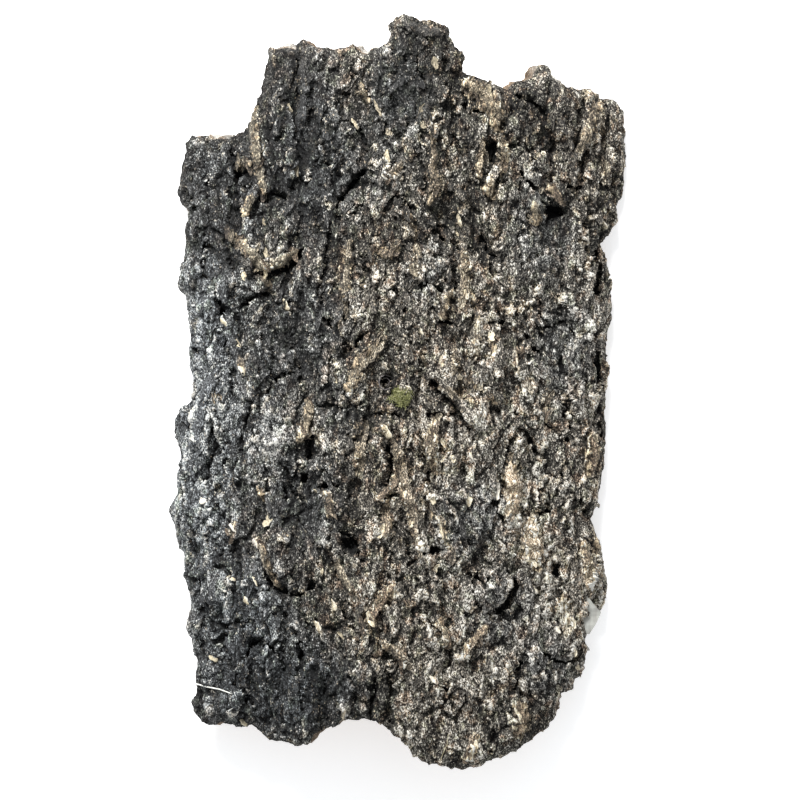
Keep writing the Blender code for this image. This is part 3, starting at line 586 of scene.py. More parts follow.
# The outer face: round like the trunk, with the relief on it, and rounding down to the rim.
outer_plan = np.concatenate([rim, filling(rim, OUTER_STEP, 4)])
outer_faces = triangles_between(rim, outer_plan[rim_count:])
to_rim = clear_of(rim_tree, outer_plan)
bend, fray = frayed_by(outer_plan)
relief = outer_relief(outer_plan, bend, fray)
rounding = EDGE_DROP * np.clip(1 - to_rim / EDGE_REACH, 0, 1) ** 2
fade = 0.45 + 0.55 * smooth(to_rim / 0.010)
outer = np.column_stack([outer_plan, np.sqrt(TRUNK_RADIUS**2 - outer_plan[:, 0] ** 2) + relief * fade - rounding])
bared = stripped_by(outer_plan, fray)
soot = blotches(outer_plan + 0.010 * bend, SOOTED)
mould = blotches(outer_plan + 0.008 * bend, MOULDED)
browned = blotches(outer_plan + 0.010 * bend, BROWNED)
paled = blotches(outer_plan + 0.012 * bend, PALED) - blotches(outer_plan + 0.012 * bend, DARKENED)
# Painted shade: the holes are painted much darker inside than the bark round them.
for half_x, half_y, _, centre in HOLES:
    near, reach = oval(outer_plan + 0.0020 * fray, half_x, half_y, centre)
    paled[near] -= 4.0 * smooth((1.15 - reach) / 0.45)

# The inner face: straight in from the outer one, smooth, and reaching past it at the ledges.
inner_plan = np.concatenate([rim, filling(rim, INNER_STEP, 8)])
inner_faces = triangles_between(rim, inner_plan[rim_count:])
inner_radius = TRUNK_RADIUS - BARK_THICKNESS
inner_to_rim = clear_of(rim_tree, inner_plan)
inner_place = inner_plan * (inner_radius / TRUNK_RADIUS, 0.992)
for reach, half_length, corner in INNER_LEDGES:
    from_middle = np.linalg.norm(place(corner))
    near = nearness(inner_plan, corner, half_length)
    inner_place += place(corner) / from_middle * ((reach + from_middle * 0.02) * near)[:, None]
ripple = 0.0009 * wave(inner_plan, 0.050, 0.260, 17.0, 2) * smooth(inner_to_rim / 0.020)
inner = np.column_stack([inner_place, np.sqrt(inner_radius**2 - inner_place[:, 0] ** 2) + ripple])

# The broken rim between them, in and out with the growth layers that it is broken through.
rings = [outer[:rim_count]]
for share in RIM_RINGS:
    ring = outer[:rim_count] + (inner[:rim_count] - outer[:rim_count]) * share
    torn = 0.0011 * wave(ring[:, :2], 0.009, 0.009, 61.0 + 4 * share, 2)
    torn += 0.0007 * wave(ring[:, :2] + 0.010 * share, 0.0030, 0.0030, 71.0 + 40 * share, 2)
    layer = 0.0006 * math.cos(share * 9 * math.pi)
    outwards = ring[:, :2] / np.linalg.norm(ring[:, :2], axis=1)[:, None]
    ring[:, :2] += outwards * (torn + layer)[:, None]
    rings.append(ring)
rings.append(inner[:rim_count])

middle = np.concatenate(rings[1:-1])
slab_points = settled(np.concatenate([outer, middle, inner]), inner[:rim_count])
ring_starts = [0] + [len(outer) + n * rim_count for n in range(len(rings) - 1)]
slab_faces = [tuple(face) for face in outer_faces]
slab_faces += [tuple(ring_starts[-1] + i for i in reversed(face)) for face in inner_faces]
for above, below in zip(ring_starts[:-1], ring_starts[1:]):
    for i in range(rim_count):
        j = (i + 1) % rim_count
        slab_faces.append((above + i, below + i, above + j))
        slab_faces.append((above + j, below + i, below + j))


def onto_slab(outer_values, rim_value, inner_value):
    """One value for each point of the slab, fading down the rim from the outer face's to the inner face's."""
    values = [outer_values]
    for share in RIM_RINGS:
        fading = max(0.0, 1 - share * 4)
        values.append(outer_values[:rim_count] * fading + rim_value * (1 - fading))
    return np.concatenate(values + [np.full(len(inner), inner_value, float)])


# The slab is drawn in five pieces that meet without a gap: four lengths of the outer face, and the
# rim with the belly. They meet along ragged lines.
outer_along = (outer_plan[:, 1] + 0.004 * fray[:, 0])[outer_faces].mean(axis=1)
part = np.full(len(slab_faces), 4)
part[:len(outer_faces)] = np.searchsorted(np.quantile(outer_along, (0.25, 0.50, 0.75)), outer_along)

# How near each point is to one of the ledges, where the inner layers have bleached in the light.
ledge = np.zeros(len(slab_points))
for _, half_length, corner in INNER_LEDGES:
    ledge = np.maximum(ledge, nearness(slab_points[:, :2], corner, half_length + 0.007))


def new_piece(name, data):
    piece = bpy.data.objects.new(name, data)
    bpy.context.scene.collection.objects.link(piece)
    return piece


def keep_on(mesh, values, kind="FLOAT", domain="POINT"):
    """Keep arrays on a mesh as attributes of the names given."""
    for name, array in values.items():
        numbers = array.astype(np.int32 if kind == "INT" else np.float32)
        mesh.attributes.new(name, kind, domain).data.foreach_set("value", numbers)


slab_mesh = bpy.data.meshes.new("cork_slab")
slab_mesh.from_pydata([tuple(point) for point in slab_points], [], slab_faces)
ring_depths = [np.full(rim_count, share) for share in RIM_RINGS]
keep_on(slab_mesh, {
    "depth": np.concatenate([np.zeros(len(outer)), *ring_depths, np.ones(len(inner))]),
    "relief": onto_slab(relief * 1000, 0, 0),
    "outer": onto_slab(0.35 + 0.65 * smooth(to_rim / 0.006), 0.35, 0),
    "bared": onto_slab(bared, 0, 0),
    "soot": onto_slab(soot, 0, 0),
    "mould": onto_slab(mould, 0, 0),
    "browned": onto_slab(browned, 0, 0),
    "paled": onto_slab(paled, 0, 0),
    "ledge": ledge,
})
keep_on(slab_mesh, {"part": part}, "INT", "FACE")


class Strand:
    """A socket of a node tree. An expression on it adds the Math nodes that work it out."""

    def __init__(self, tree, socket):
        self.tree, self.socket = tree, socket

    def node(self, kind, settings=None, values=None, output=0):
        """Add a node: its settings first, then the values or links of its sockets, by name or number."""
        node = self.tree.nodes.new(kind)
        for name, setting in (settings or {}).items():
            if name == "stops":
                ramp = node.color_ramp
                while len(ramp.elements) < len(setting):
                    ramp.elements.new(0.5)
                for element, (position, colour) in zip(ramp.elements, setting):
                    element.position, element.color = position, colour
            else:
                setattr(node, name, setting)
        for name, value in (values or {}).items():
            if isinstance(value, Strand):
                self.tree.links.new(value.socket, node.inputs[name])
            else:
                node.inputs[name].default_value = value
        return Strand(self.tree, node.outputs[output])

    def other(self, name):
        """Another output of the same node."""
        return Strand(self.tree, self.socket.node.outputs[name])

    def maths(self, operation, *values):
        return self.node("ShaderNodeMath", {"operation": operation}, dict(enumerate(values)))

    def vectors(self, operation, *values, output=0):
        return self.node("ShaderNodeVectorMath", {"operation": operation}, dict(enumerate(values)), output)

    def between(self, low, high):
        """0 below low, 1 above high, and smooth between them."""
        values = {"Value": self, "From Min": low, "From Max": high}
        return self.node("ShaderNodeMapRange", {"interpolation_type": "SMOOTHSTEP"}, values)

    def mixed(self, zero, one):
        """One colour where this is 0, and the other where it is 1."""
        return self.node("ShaderNodeMix", {"data_type": "RGBA"}, {0: self, 6: zero, 7: one}, 2)

    def blend(self, colour, weight):
        """This colour, and another where the weight is 1."""
        return weight.mixed(self, colour)

    def ramp(self, *stops):
        """A colour for each value, through the stops given as position and colour."""
        return self.node("ShaderNodeValToRGB", {"stops": stops}, {"Fac": self})

    def times(self, factors):
        """A vector multiplied by three numbers."""
        return self.vectors("MULTIPLY", self, factors)

    def scaled(self, factor):
        """A vector multiplied by one number."""
        return self.node("ShaderNodeVectorMath", {"operation": "SCALE"}, {0: self, "Scale": factor})

    def lit(self, bits):
        """A colour made paler or darker by so many halvings."""
        return self.scaled(bits.maths("POWER", 2.0, bits))

    def split(self, output=0):
        """The X of a vector, whose Y and Z are other outputs."""
        return self.node("ShaderNodeSeparateXYZ", {}, {0: self}, output)

    def combined(self, x, y, z):
        return self.node("ShaderNodeCombineXYZ", {}, {0: x, 1: y, 2: z})

    def about_zero(self):
        """Noise between 0 and 1 in three directions, moved to lie about 0."""
        return self.vectors("SUBTRACT", self, (0.5, 0.5, 0.5))

    def noise(self, scale, detail=2.0, roughness=0.5, output=0):
        values = {"Vector": self, "Scale": scale, "Detail": detail, "Roughness": roughness}
        return self.node("ShaderNodeTexNoise", {}, values, output)

    def painted(self, name):
        """An attribute of the mesh, in a material."""
        return self.node("ShaderNodeAttribute", {"attribute_name": name}, {}, 2)

    def kept(self, name, kind="FLOAT"):
        """An attribute of the mesh, in a Geometry Nodes tree."""
        return self.node("GeometryNodeInputNamedAttribute", {"data_type": kind}, {"Name": name})

    def keep(self, name, value, kind="FLOAT"):
        """The same mesh or points with a value kept as an attribute."""
        settings = {"data_type": kind, "domain": "POINT"}
        return self.node("GeometryNodeStoreNamedAttribute", settings, {0: self, "Name": name, "Value": value})

    def clamped(self):
        return self.node("ShaderNodeClamp", {}, {"Value": self})

    def __add__(self, other):
        return self.maths("ADD", self, other)

    def __sub__(self, other):
        return self.maths("SUBTRACT", self, other)

    def __rsub__(self, other):
        return self.maths("SUBTRACT", other, self)

    def __mul__(self, other):
        return self.maths("MULTIPLY", self, other)

    def __truediv__(self, other):
        return self.maths("DIVIDE", self, other)

    def __rtruediv__(self, other):
        return self.maths("DIVIDE", other, self)

    def __pow__(self, other):
        return self.maths("POWER", self, other)

    __radd__, __rmul__ = __add__, __mul__


def new_tree(name, inputs):
    """A Geometry Nodes tree with the inputs given as name: value, and its start."""
    tree = bpy.data.node_groups.new(name, "GeometryNodeTree")
    tree.interface.new_socket("Geometry", in_out="INPUT", socket_type="NodeSocketGeometry")
    tree.interface.new_socket("Geometry", in_out="OUTPUT", socket_type="NodeSocketGeometry")
    for label, value in inputs.items():
        kind = "NodeSocketInt" if isinstance(value, int) else "NodeSocketFloat"
        tree.interface.new_socket(label, in_out="INPUT", socket_type=kind).default_value = value
    return Strand(tree, tree.nodes.new("NodeGroupInput").outputs[0])


def finish_tree(start, geometry_out, material):
    """End a tree in plain geometry with its material."""
    real = start.node("GeometryNodeRealizeInstances", {}, {0: geometry_out})
    set_material = start.node("GeometryNodeSetMaterial", {}, {0: real})
    set_material.socket.node.inputs["Material"].default_value = material
    group_output = start.tree.nodes.new("NodeGroupOutput")
    start.tree.links.new(set_material.socket, group_output.inputs[0])


def grow(piece, start, values):
    """Run a tree on a piece with its inputs set, and keep the result as a plain mesh of the same name."""
    modifier = piece.modifiers.new("grow", "NODES")
    modifier.node_group = start.tree
    for item in start.tree.interface.items_tree:
        if item.in_out == "INPUT" and item.name in values:
            modifier[item.identifier] = values[item.name]
    depsgraph = bpy.context.evaluated_depsgraph_get()
    grown = piece.evaluated_get(depsgraph)
    mesh = bpy.data.meshes.new_from_object(grown, preserve_all_data_layers=True, depsgraph=depsgraph)
    piece.modifiers.remove(modifier)
    name, old = piece.data.name, piece.data
    piece.data = mesh
    if old.users == 0:
        bpy.data.meshes.remove(old)
    mesh.name = name


def new_material(name):
    """A material with a Principled shader, and the start of its tree."""
    material = bpy.data.materials.new(name)
    material.use_nodes = True
    material.node_tree.nodes.clear()
    shader = material.node_tree.nodes.new("ShaderNodeBsdfPrincipled")
    output = material.node_tree.nodes.new("ShaderNodeOutputMaterial")
    material.node_tree.links.new(shader.outputs[0], output.inputs["Surface"])
    where = material.node_tree.nodes.new("ShaderNodeTexCoord")
    return material, shader, Strand(material.node_tree, where.outputs["Object"])


def dress(shader, **inputs):
    """Feed a shader's sockets: Base_Color stands for Base Color."""
    for name, value in inputs.items():
        socket = shader.inputs[name.replace("_", " ")]
        if isinstance(value, Strand):
            value.tree.links.new(value.socket, socket)
        else:
            socket.default_value = value


def grained(at, fibre):
    """Speckle of the bark's own grain, about 0, and its finest part."""
    speck = at.times((1.0, 0.50, 1.0)).noise(1120.0, 1.0, 0.6)
    return (speck - 0.5) * 1.85 + (fibre - 0.5) * 0.34, speck


# Dry weathered cork: charcoal crust with paler crests and specks, tan where the crust is off, brown growth layers on
# the rim, and the smooth pinkish belly with its short dark lenticels. The crests are paler partly from wear and partly
# as painted light, and the cracks, hollows and holes are painted dark as painted shade.
bark_finish, bark_shader, at = new_material("weathered cork bark")
relief_mm, depth_share, fibre = at.painted("relief"), at.painted("depth"), at.painted("fibre")
bared_share, soot_share = at.painted("bared"), at.painted("soot")
mould_share, browned_share = at.painted("mould"), at.painted("browned")
fine_mm = at.node("ShaderNodeAttribute", {"attribute_name": "weathered"}, {}, 1).split()
lip, crack = fine_mm.other("Y"), fine_mm.other("Z")

grain, speck = grained(at, fibre)
strand = at.times((1.0, 0.11, 1.0)).noise(780.0, 2.0, 0.7)
grain = grain + (strand - speck) * bared_share.between(0.15, 0.60) * 1.5
patch = at.times((1.0, 0.40, 1.0)).noise(84.0, 3.0, 0.6)
cloud = at.times((1.0, 0.34, 1.0)).noise(31.0, 3.0)
tint = at.times((1.0, 0.8, 1.0)).noise(120.0, output=1)
tint = tint.node("ShaderNodeSeparateColor", {}, {0: tint})

# How bare of crust a place is, and how pale. Higher places and lips are painted paler, partly the wear of the crests
# and partly painted light, and cracks, the feet of plate steps and deep hollows are painted black as painted shade.
bare = (bared_share * 1.5 + (patch - 0.5) * 1.9 + (fibre - 0.5) * 0.8 + grain - 0.50).between(0.0, 0.55)
# Painted light and shade: the fine lift and the coarse relief, in millimetres, make high places paler and low ones
# darker, and the lips are painted paler, partly as a painted highlight.
rise = fine_mm * 0.36 + relief_mm * 0.095 + lip * 0.75
rise = rise + (patch - 0.5) * 1.3 + (cloud - 0.5) * 4.1 + at.painted("paled") * 0.80
# Painted shade: deep hollows, cracks, slits and the feet of plate steps are painted black.
hollow = 1 - relief_mm.between(-12.0, -6.0)
tone_with_painted_light_and_shade = grain * (9.6 - bare * 4.0 - soot_share * 2.0) + soot_share * 0.12 + rise + 0.26
tone_with_painted_light_and_shade = tone_with_painted_light_and_shade - crack * 3.0 - hollow * 3.5
crust = soot_share.mixed((0.0500, 0.0462, 0.0390, 1), (0.0337, 0.0358, 0.0368, 1))
ruddy = (tint.between(0.50, 0.66) + browned_share * 0.25) * (1 - soot_share * 0.92)
crust = crust.blend(crust.times((1.24, 0.98, 0.83)), ruddy.clamped())
crust = crust.blend(crust.times((0.96, 1.06, 0.82)), tint.other("Green").between(0.52, 0.66) * 0.5)
mouldy = mould_share * (patch * 0.5 + speck * 0.5).between(0.44, 0.60) * 0.85
crust = crust.blend((0.115, 0.120, 0.120, 1), mouldy.clamped())

# Tan cork where the crust is off, and on some of the lips.
lip_tan = lip * tint.other("Blue").between(0.50, 0.62) * (1 - soot_share * 0.75)
tan = tint.other("Blue").mixed((0.175, 0.120, 0.074, 1), (0.220, 0.184, 0.124, 1))
crust = crust.blend(tan, (bare * 0.85 + lip_tan * 0.50).clamped()).lit(tone_with_painted_light_and_shade)
crust = crust.vectors("MINIMUM", crust, (0.56, 0.545, 0.50))

# The rim is broken through the growth layers, bleached at its ledges.
layers = at.node("ShaderNodeTexWave", {"wave_type": "BANDS", "bands_direction": "X"}, {
    "Vector": at.combined(depth_share * 0.9 + (cloud - 0.5) * 0.35, 0.0, 0.0), "Scale": 3.2, "Distortion": 0.0,
})
broken_share = (layers * 0.40 + grain * 1.5 + (patch - 0.5) * 1.2 + 0.25).clamped()
broken = broken_share.mixed((0.048, 0.034, 0.024, 1), (0.235, 0.168, 0.108, 1))
broken = broken.blend((0.130, 0.122, 0.110, 1), (cloud.between(0.48, 0.62) * 0.65).clamped())
bleached = at.painted("ledge") * depth_share.between(0.20, 0.50) * 1.3 + (patch - 0.5) * 2.0 + grain * 1.5 - 0.35
broken = broken.blend((0.400, 0.390, 0.360, 1), (bleached * depth_share.between(0.20, 0.40)).clamped() * 0.9)

# The belly is smooth and pinkish, with short dark lenticels.
streak = at.times((1.0, 0.13, 1.0)).noise(330.0, 3.0, 0.65)
belly = streak.between(0.3, 0.7).mixed((0.225, 0.145, 0.090, 1), (0.410, 0.300, 0.205, 1))
lenticel = at.node("ShaderNodeTexVoronoi", {}, {"Vector": at.times((1.0, 0.30, 1.0)), "Scale": 260.0})
belly = belly.blend(belly.times((0.50, 0.47, 0.45)), cloud.between(0.46, 0.62) * 0.9)
belly = belly.blend((0.060, 0.032, 0.020, 1), (1 - lenticel.between(0.16, 0.26)) * patch.between(0.42, 0.56))
belly = belly.lit(grain * 1.6)
colour = crust.blend(broken, depth_share.between(0.06, 0.30)).blend(belly, depth_share.between(0.965, 0.998))

bumped = at.node("ShaderNodeBump", {}, {"Strength": 0.6, "Distance": 0.0008, "Height": speck})
dress(bark_shader, Base_Color=colour, Roughness=0.90 - bare * 0.08, Normal=bumped)
bark_shader.inputs["Specular IOR Level"].default_value = 0.30

# The floors of the fissures as wandering lines, from which the weathering measures its slits.
fissure_mesh = bpy.data.meshes.new("fissure_floors")
slit_points, slit_edges = [], []
for _, _, pixels in FISSURES:
    line = spaced(places(pixels), 0.0020)
    line += 0.0022 * np.stack([wave(line, 0.009, 0.009, seed, 2) for seed in (5.0, 15.0)], axis=1)
    slit_edges += [(len(slit_points) + i, len(slit_points) + i + 1) for i in range(len(line) - 1)]
    slit_points += [(x, y, 0.0) for x, y in line]
fissure_mesh.from_pydata(slit_points, slit_edges, [])
fissure_floors = new_piece("fissure_floors", fissure_mesh)

# Weather breaks the crust into plates, each flaking off in steps of its own direction, opens the
# grain and leaves crumbs.
weather = new_tree("weathering", {
    "Plate Width": 0.0250, "Plate Length": 0.0600, "Plate Step": 0.0042,
    "Scale Width": 0.0105, "Scale Length": 0.0300, "Scale Step": 0.0018,
    "Crack Depth": 0.0022, "Seam Swell": 0.0010, "Fibre Width": 0.0017, "Fibre Depth": 0.00035,
    "Crumb Size": 0.0030, "Crumb Height": 0.00030, "Fissure Width": 0.0010, "Fissure Depth": 0.0040,
    "Rim Tear": 0.0048, "Seed": 5,
})
finer = weather.node("GeometryNodeSubdivideMesh", {}, {"Mesh": weather, "Level": 1})
spot = weather.node("GeometryNodeInputPosition")
normal = weather.node("GeometryNodeInputNormal")
outer_share, depth_here = weather.kept("outer"), weather.kept("depth")
shift = weather.combined(weather.other("Seed") * 1.37, weather.other("Seed") * 2.11, 0.0)
wander = spot.vectors("ADD", spot, shift).noise(75.0, 4.0, 0.6, 1).about_zero()
crooked = spot.vectors("ADD", spot, wander.times((0.010, 0.015, 0.010)))


def flaking(point, kind, steps):
    """Plates of a kind, each flaking in steps.

    Gives how far up a step each point is, how near the plate's edge, and a number of the plate's own.
    """
    width, length = weather.other(kind + " Width"), weather.other(kind + " Length")
    vector = point.vectors("DIVIDE", point, point.combined(width, length, width))
    cell = point.node("ShaderNodeTexVoronoi", {}, {"Vector": vector, "Scale": 1.0}, 2)
    edge = point.node("ShaderNodeTexVoronoi", {"feature": "DISTANCE_TO_EDGE"}, {"Vector": vector, "Scale": 1.0})
    own = cell.other("Color")
    away = vector.vectors("SUBTRACT", vector, cell)
    slope = away.vectors("DOT_PRODUCT", away, own.about_zero(), output=1)
    numbers = own.split()
    phase = (slope * 3.0 + vector.noise(1.3, 3.0, 0.6) * 1.6) * steps + numbers * 4
    return phase.maths("FRACT", phase), edge, numbers.other("Z")


plate_step, plate_edge, plate_own = flaking(crooked, "Plate", 1.5)
scale_step, scale_edge, scale_own = flaking(crooked, "Scale", 1.2)
broken_up = spot.times((1.0, 0.45, 1.0)).noise(90.0, output=1).split()
plate_lift = broken_up.between(0.34, 0.56)
scale_lift = broken_up.other("Y").between(0.38, 0.60)
cracked = broken_up.other("Z").between(0.42, 0.56)

# Fibres run along the grain, turned a little in each plate.
turn = (plate_own - 0.5) * 1.6
turned = spot.node("ShaderNodeVectorRotate", {"rotation_type": "Z_AXIS"}, {"Vector": crooked, "Angle": turn})
fibre_count = 1 / weather.other("Fibre Width")
fibre_size = weather.combined(fibre_count, fibre_count * 0.16, fibre_count)
fibres = turned.vectors("MULTIPLY", turned, fibre_size).noise(1.0, 1.5)
fibres = ((fibres - 0.5) * 1.8 + 0.5).clamped()
crumbs = spot.noise(1 / weather.other("Crumb Size"), 3.0, 0.7)

# Fine seams wander along the grain and part round the knots.
off_seam = crooked.times((1.0, 0.20, 1.0)).noise(105.0, 2.0, 0.55) - 0.5
off_seam = off_seam.maths("ABSOLUTE", off_seam)
seam = (1 - off_seam.between(0.004, 0.040)) * (0.45 + broken_up.other("Y") * 0.8)
opening = (1 - plate_edge.between(0.0, 0.055)) * cracked
opening = opening + (1 - scale_edge.between(0.0, 0.07)) * (1 - cracked) * 0.5
opening = opening + seam * 0.55
raised = plate_step ** 1.8 * plate_lift * weather.other("Plate Step") + (plate_own - 0.5) * 0.0016
raised = raised + scale_step ** 1.6 * scale_lift * weather.other("Scale Step") + (scale_own - 0.5) * 0.0008
raised = raised + (fibres - 0.5) * 2 * weather.other("Fibre Depth")
raised = raised + (crumbs - 0.5) * 2.4 * weather.other("Crumb Height")
raised = raised + off_seam.between(0.03, 0.16) * weather.other("Seam Swell")
raised = raised - opening * weather.other("Crack Depth") - 0.0008

# The open floors of the fissures are narrow slits, which the bark's colour paints black as painted shade.
slits = weather.node("GeometryNodeObjectInfo", {"transform_space": "ORIGINAL"}, {"Object": fissure_floors}, "Geometry")
to_slit = weather.node("GeometryNodeProximity", {"target_element": "EDGES"}, {
    0: slits, "Sample Position": spot.times((1.0, 1.0, 0.0)),
}, "Distance")
slit = 1 - (to_slit / weather.other("Fissure Width") + (broken_up - 0.5) * 2.0).between(0.35, 1.35)
raised = raised - slit * weather.other("Fissure Depth")
opening = (opening + slit * 1.3).clamped()

# The belly is fluted and the rim torn, and what rests on the ground stays flat.
flutes = spot.times((70.0, 5.0, 70.0)).noise(1.0, 3.0)
belly_lift = (flutes - 0.5) * 0.0032 * depth_here.between(0.90, 1.0)
torn = spot.times((1.0, 1.0, 1.6)).noise(150.0, 4.0, 0.7)
rim_lift = (torn - 0.5) * weather.other("Rim Tear") * depth_here.between(0.02, 0.15)
rim_lift = rim_lift * (1 - depth_here.between(0.90, 1.0))
lift = (raised * outer_share + belly_lift + rim_lift) * spot.split(2).between(0.0010, 0.0080)

# All of it is worked out once and kept, before the points move: the lift in millimetres, how much of a lip a place is,
# and how deep in a crack or under a plate's edge. The bark's colour turns these into painted light on high places and
# lips and painted shade in cracks and under plate edges.
lips = (plate_step.between(0.72, 0.92) * plate_lift + scale_step.between(0.70, 0.95) * scale_lift * 0.6).clamped()
# The foot of each step, under a plate's edge, where the bark's colour paints shade.
foot = (1 - plate_step.between(0.02, 0.14)) * plate_lift * 0.9 + (1 - scale_step.between(0.02, 0.16)) * scale_lift * 0.5
worked_out = weather.combined(lift * 1000, lips, (opening + foot).clamped())
marked = finer.keep("weathered", worked_out, "FLOAT_VECTOR").keep("fibre", fibres)
outwards = normal.scaled(weather.kept("weathered", "FLOAT_VECTOR").split() * 0.001)
finish_tree(weather, weather.node("GeometryNodeSetPosition", {}, {0: marked, "Offset": outwards}), bark_finish)

# The whole slab is the ground for what lies on it, and is taken away again at the end.
slab = new_piece("slab_ground", slab_mesh)
grow(slab, weather, {"Seed": 5})
slab.data.shade_smooth()
bpy.data.objects.remove(fissure_floors)

one_length = new_tree("one length of the slab", {"Part": 0})
part_away = one_length.kept("part", "INT") - one_length.other("Part")
elsewhere = part_away.maths("GREATER_THAN", part_away.maths("ABSOLUTE", part_away), 0.5)
own_faces = one_length.node("GeometryNodeDeleteGeometry", {"domain": "FACE"}, {0: one_length, "Selection": elsewhere})
finish_tree(one_length, own_faces, bark_finish)
for part_number, name in enumerate((
    "outer_face_foot", "outer_face_lower", "outer_face_upper", "outer_face_head", "rim_and_belly",
)):
    piece = new_piece(name, slab.data.copy())
    grow(piece, one_length, {"Part": part_number})
    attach(piece, "root")
    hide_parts("cork_bark")


# Loose flakes.
# Thin curled plates of dry cork that weather has lifted and not yet shed, each still held at one
# edge. Those along the bared lines are tan cork, and the rest are as dark as the crust.

flake_finish, flake_shader, at = new_material("curled bark flakes")
tone, bared_share, soot_share = at.painted("tone"), at.painted("bared"), at.painted("soot")
streak = at.times((1.0, 0.16, 1.0)).noise(600.0, 1.0)
grain, speck = grained(at, streak)
bleached = tone.between(0.94, 0.96)
flake_colour = soot_share.mixed((0.0600, 0.0530, 0.0430, 1), (0.0380, 0.0400, 0.0415, 1))
flake_tan = tone.mixed((0.150, 0.105, 0.068, 1), (0.210, 0.180, 0.125, 1))
flake_colour = flake_colour.blend(flake_tan, (bared_share * 1.2 + bleached - 0.1).clamped())
flake_grain = grain * (9.5 - soot_share * 2.0 - bared_share.maths("MAXIMUM", bared_share, bleached * 1.4) * 4.5)
flake_rise = flake_grain + (tone - 0.5) * 1.0 + bleached * 1.2 + at.painted("free_edge") * 1.1
# The paled values also carry the painted shade of the holes.
flake_colour = flake_colour.lit(flake_rise + at.painted("paled") * 0.6 - 0.4)
flake_colour = flake_colour.vectors("MINIMUM", flake_colour, (0.60, 0.56, 0.485))
flake_bump = at.node("ShaderNodeBump", {}, {"Strength": 0.6, "Distance": 0.0008, "Height": speck * 0.6 + streak * 0.4})
dress(flake_shader, Base_Color=flake_colour, Roughness=0.88, Normal=flake_bump)


def chance(start, low, high, seed):
    """A random number or vector of each point's own."""
    if isinstance(low, tuple):
        return start.node("FunctionNodeRandomValue", {"data_type": "FLOAT_VECTOR"}, {0: low, 1: high, 8: seed})
    return start.node("FunctionNodeRandomValue", {"data_type": "FLOAT"}, {2: low, 3: high, 8: seed}, 1)


def strewn(start, density, tone_seed):
    """Points strewn over the slab at the density given, each with a tone of its own."""
    values = {"Mesh": start, "Density": density, "Seed": start.other("Seed")}
    points = start.node("GeometryNodeDistributePointsOnFaces", {}, values)
    return points.keep("tone", chance(start, 0.0, 1.0, tone_seed))


def euler(angles):
    return angles.node("FunctionNodeEulerToRotation", {}, {0: angles})


def flake_tree(name, values):
    """A tree that sets curled flakes on the outer face, tilted up out of it, where its mask allows."""
    start = new_tree(name, values)
    position = start.node("GeometryNodeInputPosition")
    allowed = start.other("Crust Share") * start.kept("relief").between(-2.5, 2.0)
    allowed = allowed + start.other("Bared Share") * start.kept("bared")
    density = allowed * start.kept("outer").between(0.90, 1.0) * start.other("Flakes per Square Metre")
    points = strewn(start, density, start.other("Seed") + 1)

    def own(low, high, number):
        return chance(start, low, high, start.other("Seed") + number)

    outwards = start.combined(position.split(), 0.0, TRUNK_RADIUS)
    upright = start.node("FunctionNodeAlignRotationToVector", {"axis": "Z"}, {"Vector": outwards})
    lift = start.other("Lift")
    lean = euler(start.combined(own(-0.55, 0.25, 2) * lift, own(-0.9, 0.9, 3) * lift, own(-0.75, 0.75, 4)))
    turned = start.node("FunctionNodeRotateRotation", {"rotation_space": "LOCAL"}, {0: upright, 1: lean})
    size = start.combined(
        start.other("Width") * own(0.5, 1.5, 5),
        start.other("Length") * own(0.5, 1.6, 6),
        start.other("Thickness") * own(0.7, 1.3, 7),
    )

    # One flake: a thin plate, thinner at its edges and curled up at its sides and ends.
    cube = {"Size": (1, 1, 1), "Vertices X": 4, "Vertices Y": 5, "Vertices Z": 2}
    plate = start.node("GeometryNodeMeshCube", {}, cube)
    across = start.node("GeometryNodeInputPosition").split()
    along, up = across.other("Y"), across.other("Z")
    across_square, along_square = across * across * 4, along * along * 4
    thin = (1 - across_square * 0.75) * (1 - along_square * 0.75)
    curled = start.combined(
        across * (1 - along_square * 0.45),
        along * (1 - across_square * 0.15),
        up * thin + across_square * start.other("Curl") + along_square * 0.6,
    )
    flake = start.node("GeometryNodeSetPosition", {}, {0: plate, "Position": curled})
    flakes = start.node("GeometryNodeInstanceOnPoints", {}, {
        "Points": points, "Instance": flake, "Rotation": turned, "Scale": size,
    })
    real = start.node("GeometryNodeRealizeInstances", {}, {0: flakes})
    crumpled = position.noise(210.0, output=1).about_zero().times((0.0055, 0.0060, 0.0030))
    finish_tree(start, start.node("GeometryNodeSetPosition", {}, {0: real, "Offset": crumpled}), flake_finish)
    return start


for name, values in {
    "crust_flakes": {
        "Flakes per Square Metre": 2400.0, "Crust Share": 1.0, "Bared Share": 0.0, "Length": 0.0100,
        "Width": 0.0036, "Thickness": 0.0010, "Curl": 1.3, "Lift": 0.45, "Seed": 11,
    },
    "bared_flakes": {
        "Flakes per Square Metre": 6000.0, "Crust Share": 0.0, "Bared Share": 1.0, "Length": 0.0105,
        "Width": 0.0036, "Thickness": 0.0012, "Curl": 1.2, "Lift": 0.45, "Seed": 23,
    },
}.items():
    flakes = new_piece(name, slab.data.copy())
    grow(flakes, flake_tree(name, values), {"Seed": values["Seed"]})
    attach(flakes, "root")


# Curled lips.
# Strips of the dry crust, split off along the grain beside the ridges. Each is still held along one
# edge, sunk in the bark, and has curled up to a pale, ragged free edge.

LIP_STEP = 0.0011
LIP_THICKNESS = 0.0009

# Across a lip, from its held edge to its free one: how far across, in half widths, and how far up.
LIP_SECTION = ((-0.55, -0.9), (-0.15, 0.30), (0.20, 0.70), (0.46, 1.00))

# How far below its crest the held edge of a lip or a pale flake may go to reach the bark.
LIP_FALL, PALE_FLAKE_FALL = 0.0050, 0.0014

